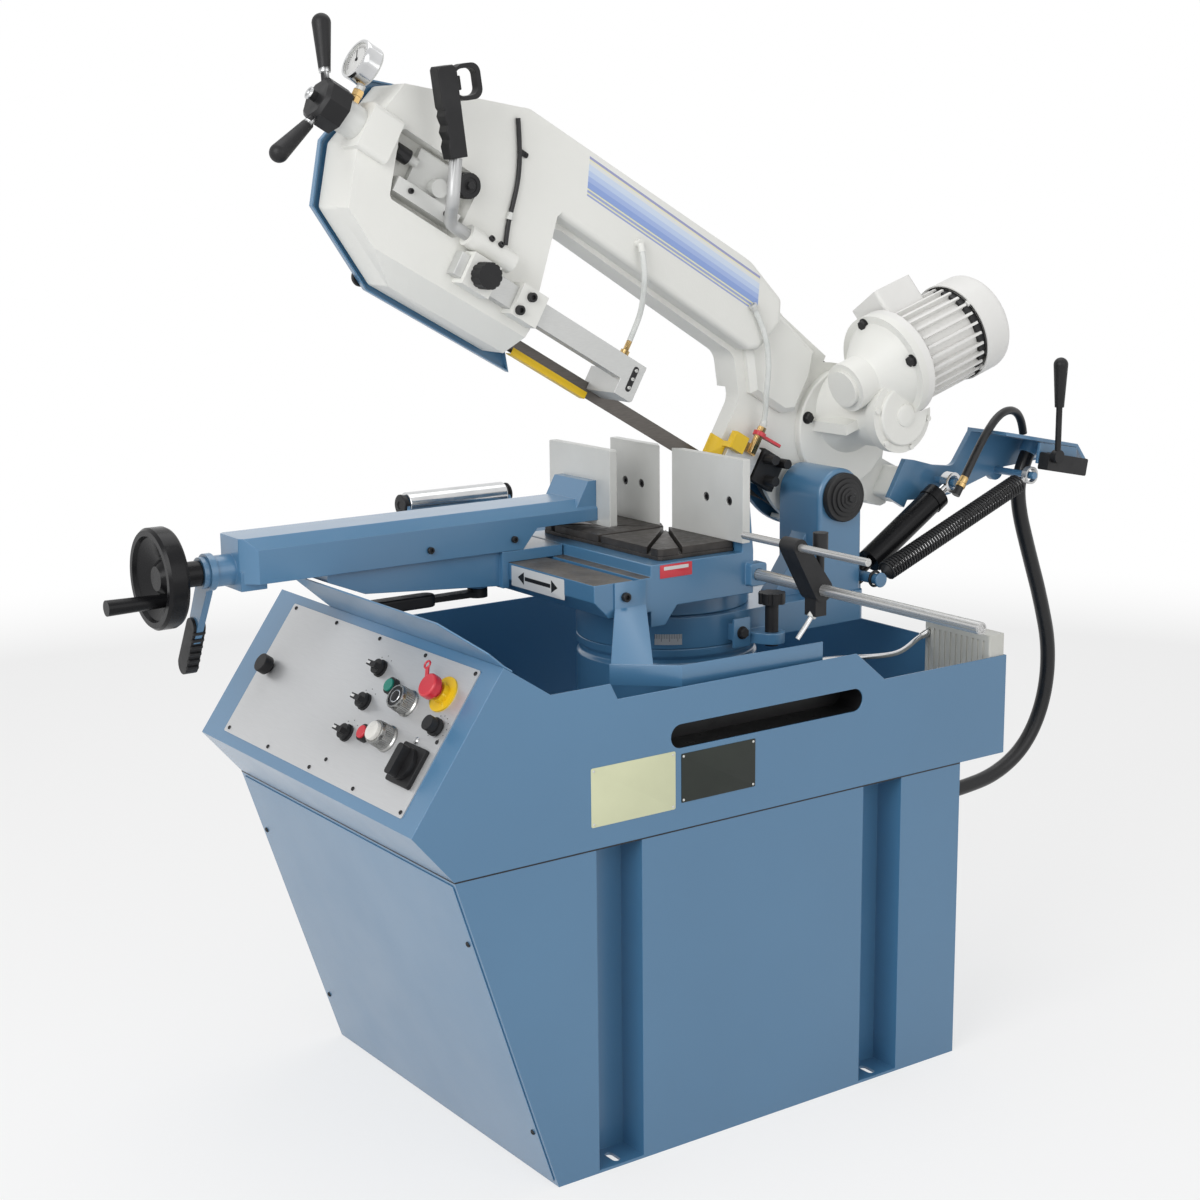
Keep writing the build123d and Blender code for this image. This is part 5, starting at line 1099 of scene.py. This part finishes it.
# strap and ring that hang from the emergency stop
tagWork = {"strap": (0.0075, 0.028, 0.0026, 0.0030, 0.0005), "strapFoot": (0, 0.014, 0), "ring": (0.0062, 0.0017),
           "ringFoot": (0, 0.032, 0.0014), "place": (0.226, -0.2485, 0.0295), "turn": 40}


def ringPiece(name, radii, sides, place=(0, 0, 0)):
    return startPiece(name, "torus", major_radius=radii[0], minor_radius=radii[1], major_segments=sides,
                      minor_segments=10, location=place)


def addStopTag():
    s = tagWork
    strap = platePiece("tagStrap", *s["strap"])
    strap.data.transform(Matrix.Translation(s["strapFoot"]))
    ring = ringPiece("tagRing", s["ring"], 32, s["ringFoot"])
    smoothShade(ring)
    tag = joinPieces([strap, ring], "estop_tag")
    tag.data.transform(onSlope(panel, *s["place"], math.radians(s["turn"])))
    settle(tag, "redPlastic", "estop button")


# plain double arrow on the way's front plate
arrowWork = {"middle": (-0.2088, -0.0295, 0.9235), "shaft": (0.080, 0.007), "corner": 0.0004, "tip": 0.0130,
             "reach": 0.049, "thick": 0.0004}


def addArrow():
    s = arrowWork
    parts = [platePiece("arrowShaft", *s["shaft"], s["thick"], s["corner"])]
    for side in (-1, 1):
        tip = turnedPiece("arrowTip", [(s["tip"], 0), (s["tip"], s["thick"])], 3)
        turn = Matrix.Rotation(math.radians(-90 * side), 4, "Z")
        tip.data.transform(Matrix.Translation((side * s["reach"], 0, 0)) @ turn)
        parts.append(tip)
    arrow = joinPieces(parts, "way_arrow")
    arrow.data.transform(facing(s["middle"], leftSide))
    settle(arrow, "blackPlastic", "base")


def addStripe():
    s = stripe
    wide, high = s["right"] - s["left"], s["high"] - s["low"]
    plate = platePiece("bow_stripe", wide, high, s["thick"], s["corner"])
    for side in (1, -1):
        pickFaces(plate, lambda face: face.center.y * side > 0.9 * high / 2)
        bpy.ops.transform.translate(value=(-s["lean"] * side, 0, 0))
        leaveEdit()
    plate.data.transform(onBow((s["left"] + s["right"]) / 2, s["face"], (s["high"] + s["low"]) / 2))
    settle(plate, "bowStripe", "bow")


# curved scale plate: an upright edge swept round the turning ring
def addMitreScale():
    s = mitreScale
    (x, y), (a, b) = s["centre"], spokes([s["from"]], s["radius"])[0]
    plate = startPiece("mitre_scale", "plane", size=1)
    editAll(plate)
    bpy.ops.mesh.delete(type="ONLY_FACE")
    leaveEdit()
    for vertex, height in zip(plate.data.vertices, (s["low"], s["high"], s["low"], s["high"])):
        vertex.co = (x + a, y + b, height)
    editAll(plate)
    bpy.ops.mesh.remove_doubles(threshold=0.0001)
    bpy.ops.mesh.select_all(action="SELECT")
    sweep = math.radians(s["to"] - s["from"])
    bpy.ops.mesh.spin(steps=s["steps"], angle=-sweep, center=(x, y, 0), axis=(0, 0, 1))
    bpy.ops.mesh.select_all(action="SELECT")
    bpy.ops.mesh.remove_doubles(threshold=0.00005)
    turnOutward(plate)
    applyModifier(plate, "SOLIDIFY", thickness=s["thick"], offset=0)
    smoothShade(plate, 40)
    settle(plate, "mitreScaleTicks", "turntable")


# stacked washers and nut on the pivot, and the plate with its block beside the mitre lock
pivotWork = {"place": (0.377, -0.164, 1.029),
             "washers": [(0.0350, 0), (0.0350, 0.0028), (0.0335, 0.0036), (0.0270, 0.0036), (0.0270, 0.0066),
                         (0.0255, 0.0074), (0.0195, 0.0074), (0.0195, 0.0096), (0.0180, 0.0104)],
             "nut": [(0.0148, 0.0104), (0.0148, 0.0125), (0.0130, 0.0135), (0.0070, 0.0135), (0.0070, 0.0165),
                     (0.0060, 0.0174)]}
ringPlateWork = [((0.038, 0.052, 0.0040, 0.0020, 0.0008), (0.117, -0.1828, 0.818)),
                 ((0.030, 0.030, 0.0180, 0.0020, 0.0010), (0.117, -0.1650, 0.818))]


def addPivotWashers():
    washers = turnedPiece("washers", pivotWork["washers"], 48)
    joined = joinPieces([washers, turnedPiece("pivotNut", pivotWork["nut"], 6)], "pivot_washers")
    joined.data.transform(onNear(*pivotWork["place"]))
    settle(joined, "blackIronAndShade", "bow")


def addRingPlate():
    parts = []
    for size, place in ringPlateWork:
        parts.append(platePiece("ringPlatePart", *size))
        parts[-1].data.transform(onNear(*place))
    settle(joinPieces(parts, "ring_plate"), "bluePaint", "turntable")


# the guard's strip leaves the blade's back edge open to view
guardCut = (-0.6, 0, -0.0485)


def trimGuard():
    guard = splitPieces["blade_guard"]
    editAll(guard)
    bpy.ops.mesh.bisect(plane_co=bowPoint(*guardCut), plane_no=bowWay(0, 0, 1), use_fill=True, clear_outer=True)
    turnOutward(guard)


addStopTag()
addArrow()
addStripe()
addMitreScale()
addPivotWashers()
addRingPlate()
trimGuard()
print("joined trim set")


# counter spring: a wire section screwed along the spring's line, with a hooked eye at its foot
springWork = {"anchor": (0.450, -0.165, 0.870), "run": (0.932304, 0, 0.361675), "from": 0.030, "to": 0.3974,
              "radius": 0.0172, "wire": 0.0024, "turns": 54, "steps": 16, "eye": (0.0135, 0.0026),
              "shank": [(0.0026, 0.0130), (0.0026, 0.020), (0.0150, 0.0300), (0.0165, 0.0325)]}


def addSpring():
    s = springWork
    run, anchor = Vector(s["run"]), Vector(s["anchor"])
    coil = startPiece("spring_wire", "circle", vertices=8, radius=s["wire"], location=(s["radius"], 0, 0),
                      rotation=(math.radians(90), 0, 0))
    pitch = (s["to"] - s["from"]) / s["turns"]
    applyModifier(coil, "SCREW", axis="Z", angle=math.radians(360), screw_offset=pitch, iterations=s["turns"],
                  steps=s["steps"], render_steps=s["steps"])
    editAll(coil)
    bpy.ops.mesh.remove_doubles(threshold=0.00002)
    bpy.ops.mesh.select_all(action="DESELECT")
    bpy.ops.mesh.select_mode(type="EDGE")
    bpy.ops.mesh.select_non_manifold()
    bpy.ops.mesh.edge_face_add()
    turnOutward(coil)
    smoothShade(coil, 60)
    start, end = anchor + run * s["from"], anchor + run * s["to"]
    coil.data.transform(facing(start, run))
    giveFinish(coil, finishes["blackIronAndShade"])
    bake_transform(coil)
    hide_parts("spring_coil")
    eye = ringPiece("springEye", s["eye"], 40)
    smoothShade(eye, 60)
    eye.data.transform(onNear(*anchor))
    shank = turnedPiece("springShank", s["shank"], 16)
    shank.data.transform(facing(anchor, run))
    settle(joinPieces([eye, shank], "spring_eye"), "blackIronAndShade", "spring coil", "spring_coil")


addSpring()
print("spring set")


# thin sheet bent row by row, each row a left and a right point
def bentSheet(name, rows, thick):
    piece = startPiece(name, "plane", size=1)
    for vertex, point in zip(piece.data.vertices, (*rows[0], *rows[1])):
        vertex.co = point
    lastRow = rows[1]
    for row in rows[2:]:
        ends = [Vector(point) for point in lastRow]
        pickEdges(piece, lambda a, b: all(min((p - end).length for end in ends) < 1e-6 for p in (a, b)))
        bpy.ops.mesh.extrude_edges_move(TRANSFORM_OT_translate={"value": (0, 0, 0)})
        leaveEdit()
        for vertex in list(piece.data.vertices)[-2:]:
            nearest = min((0, 1), key=lambda i: (vertex.co - ends[i]).length)
            vertex.co = row[nearest]
        lastRow = row
    turnOutward(piece)
    applyModifier(piece, "SOLIDIFY", thickness=thick, offset=0)
    applyModifier(piece, "BEVEL", width=thick * 0.3, segments=2, limit_method="ANGLE", angle_limit=math.radians(50))
    smoothShade(piece)
    return piece


# chip deflector: an arm from the vise bed and a strip that is bent along a path
deflectorWork = {"arm": [((-0.169, -0.2017, 0.944), (-0.104, -0.2017, 0.944)),
                         ((-0.169, -0.2017, 0.900), (-0.104, -0.2017, 0.900)),
                         ((-0.2285, -0.2735, 0.828), (-0.1770, -0.3205, 0.828))],
                 "path": [(-0.2305, -0.272), (-0.1425, -0.352), (0.1495, -0.363)], "low": 0.794, "high": 0.830,
                 "thick": 0.003}


def addDeflector():
    s = deflectorWork
    arm = bentSheet("deflectorArm", s["arm"], s["thick"])
    lip = bentSheet("deflectorLip", [((x, y, s["low"]), (x, y, s["high"])) for x, y in s["path"]], s["thick"])
    settle(joinPieces([arm, lip], "deflector_sheet"), "bluePaint", "base", "chip_deflector")


# pocket behind the tray's side slot, open to the front, its inside faces painted black as painted shade
slotWork = {"middle": (0.0275, -0.3095, 0.718), "size": (0.431, 0.056, 0.060, 0.0275), "wall": 0.008, "deep": 0.055}


def isSlotShadeFace(face):
    x, z = face.center.x - slotWork["middle"][0], face.center.z - slotWork["middle"][2]
    return face.normal.y < -0.5 or face.normal.x * x + face.normal.z * z < 0


def addSlotPocket():
    s = slotWork
    pocket = platePiece("slot_pocket", *s["size"])
    pickFaces(pocket, lambda face: face.normal.z > 0.9)
    bpy.ops.mesh.inset(thickness=s["wall"], depth=0)
    bpy.ops.mesh.extrude_region_move(TRANSFORM_OT_translate={"value": (0, 0, -s["deep"])})
    leaveEdit()
    smoothShade(pocket)
    pocket.data.transform(onNear(*s["middle"]))
    settle(pocket, "bluePaint", "base")
    # the pocket's inside faces take the black finish as painted shade in the recess
    paintFaces(pocket, "blackRubberAndShade", isSlotShadeFace)


# dark strip between the tray and the pedestal, painted shade in the gap under the tray's lip
gapShadeWork = {"low": (-0.5934, -0.3729), "high": (0.4754, 0.3729), "foot": 0.5585, "thick": 0.0022, "corner": 0.002,
            "wide": 0.030}


def addGapShade():
    s = gapShadeWork
    (x0, y0), (x1, y1) = s["low"], s["high"]
    strip = platePiece("tray_gap_shade", x1 - x0, y1 - y0, s["thick"], s["corner"])
    pickFaces(strip, lambda face: abs(face.normal.z) > 0.9)
    bpy.ops.mesh.inset(thickness=s["wide"], depth=0)
    bpy.ops.mesh.delete(type="FACE")
    leaveEdit()
    innerX, innerY = (x1 - x0) / 2 - s["wide"] * 0.5, (y1 - y0) / 2 - s["wide"] * 0.5
    pickEdges(strip, lambda a, b: all(abs(p.x) < innerX and abs(p.y) < innerY for p in (a, b)))
    bpy.ops.mesh.bridge_edge_loops()
    turnOutward(strip)
    strip.data.transform(Matrix.Translation(((x0 + x1) / 2, (y0 + y1) / 2, s["foot"])))
    # black finish as painted shade in the gap
    settle(strip, "blackRubberAndShade", "base")


addDeflector()
addSlotPocket()
addGapShade()
print("sheet parts set")
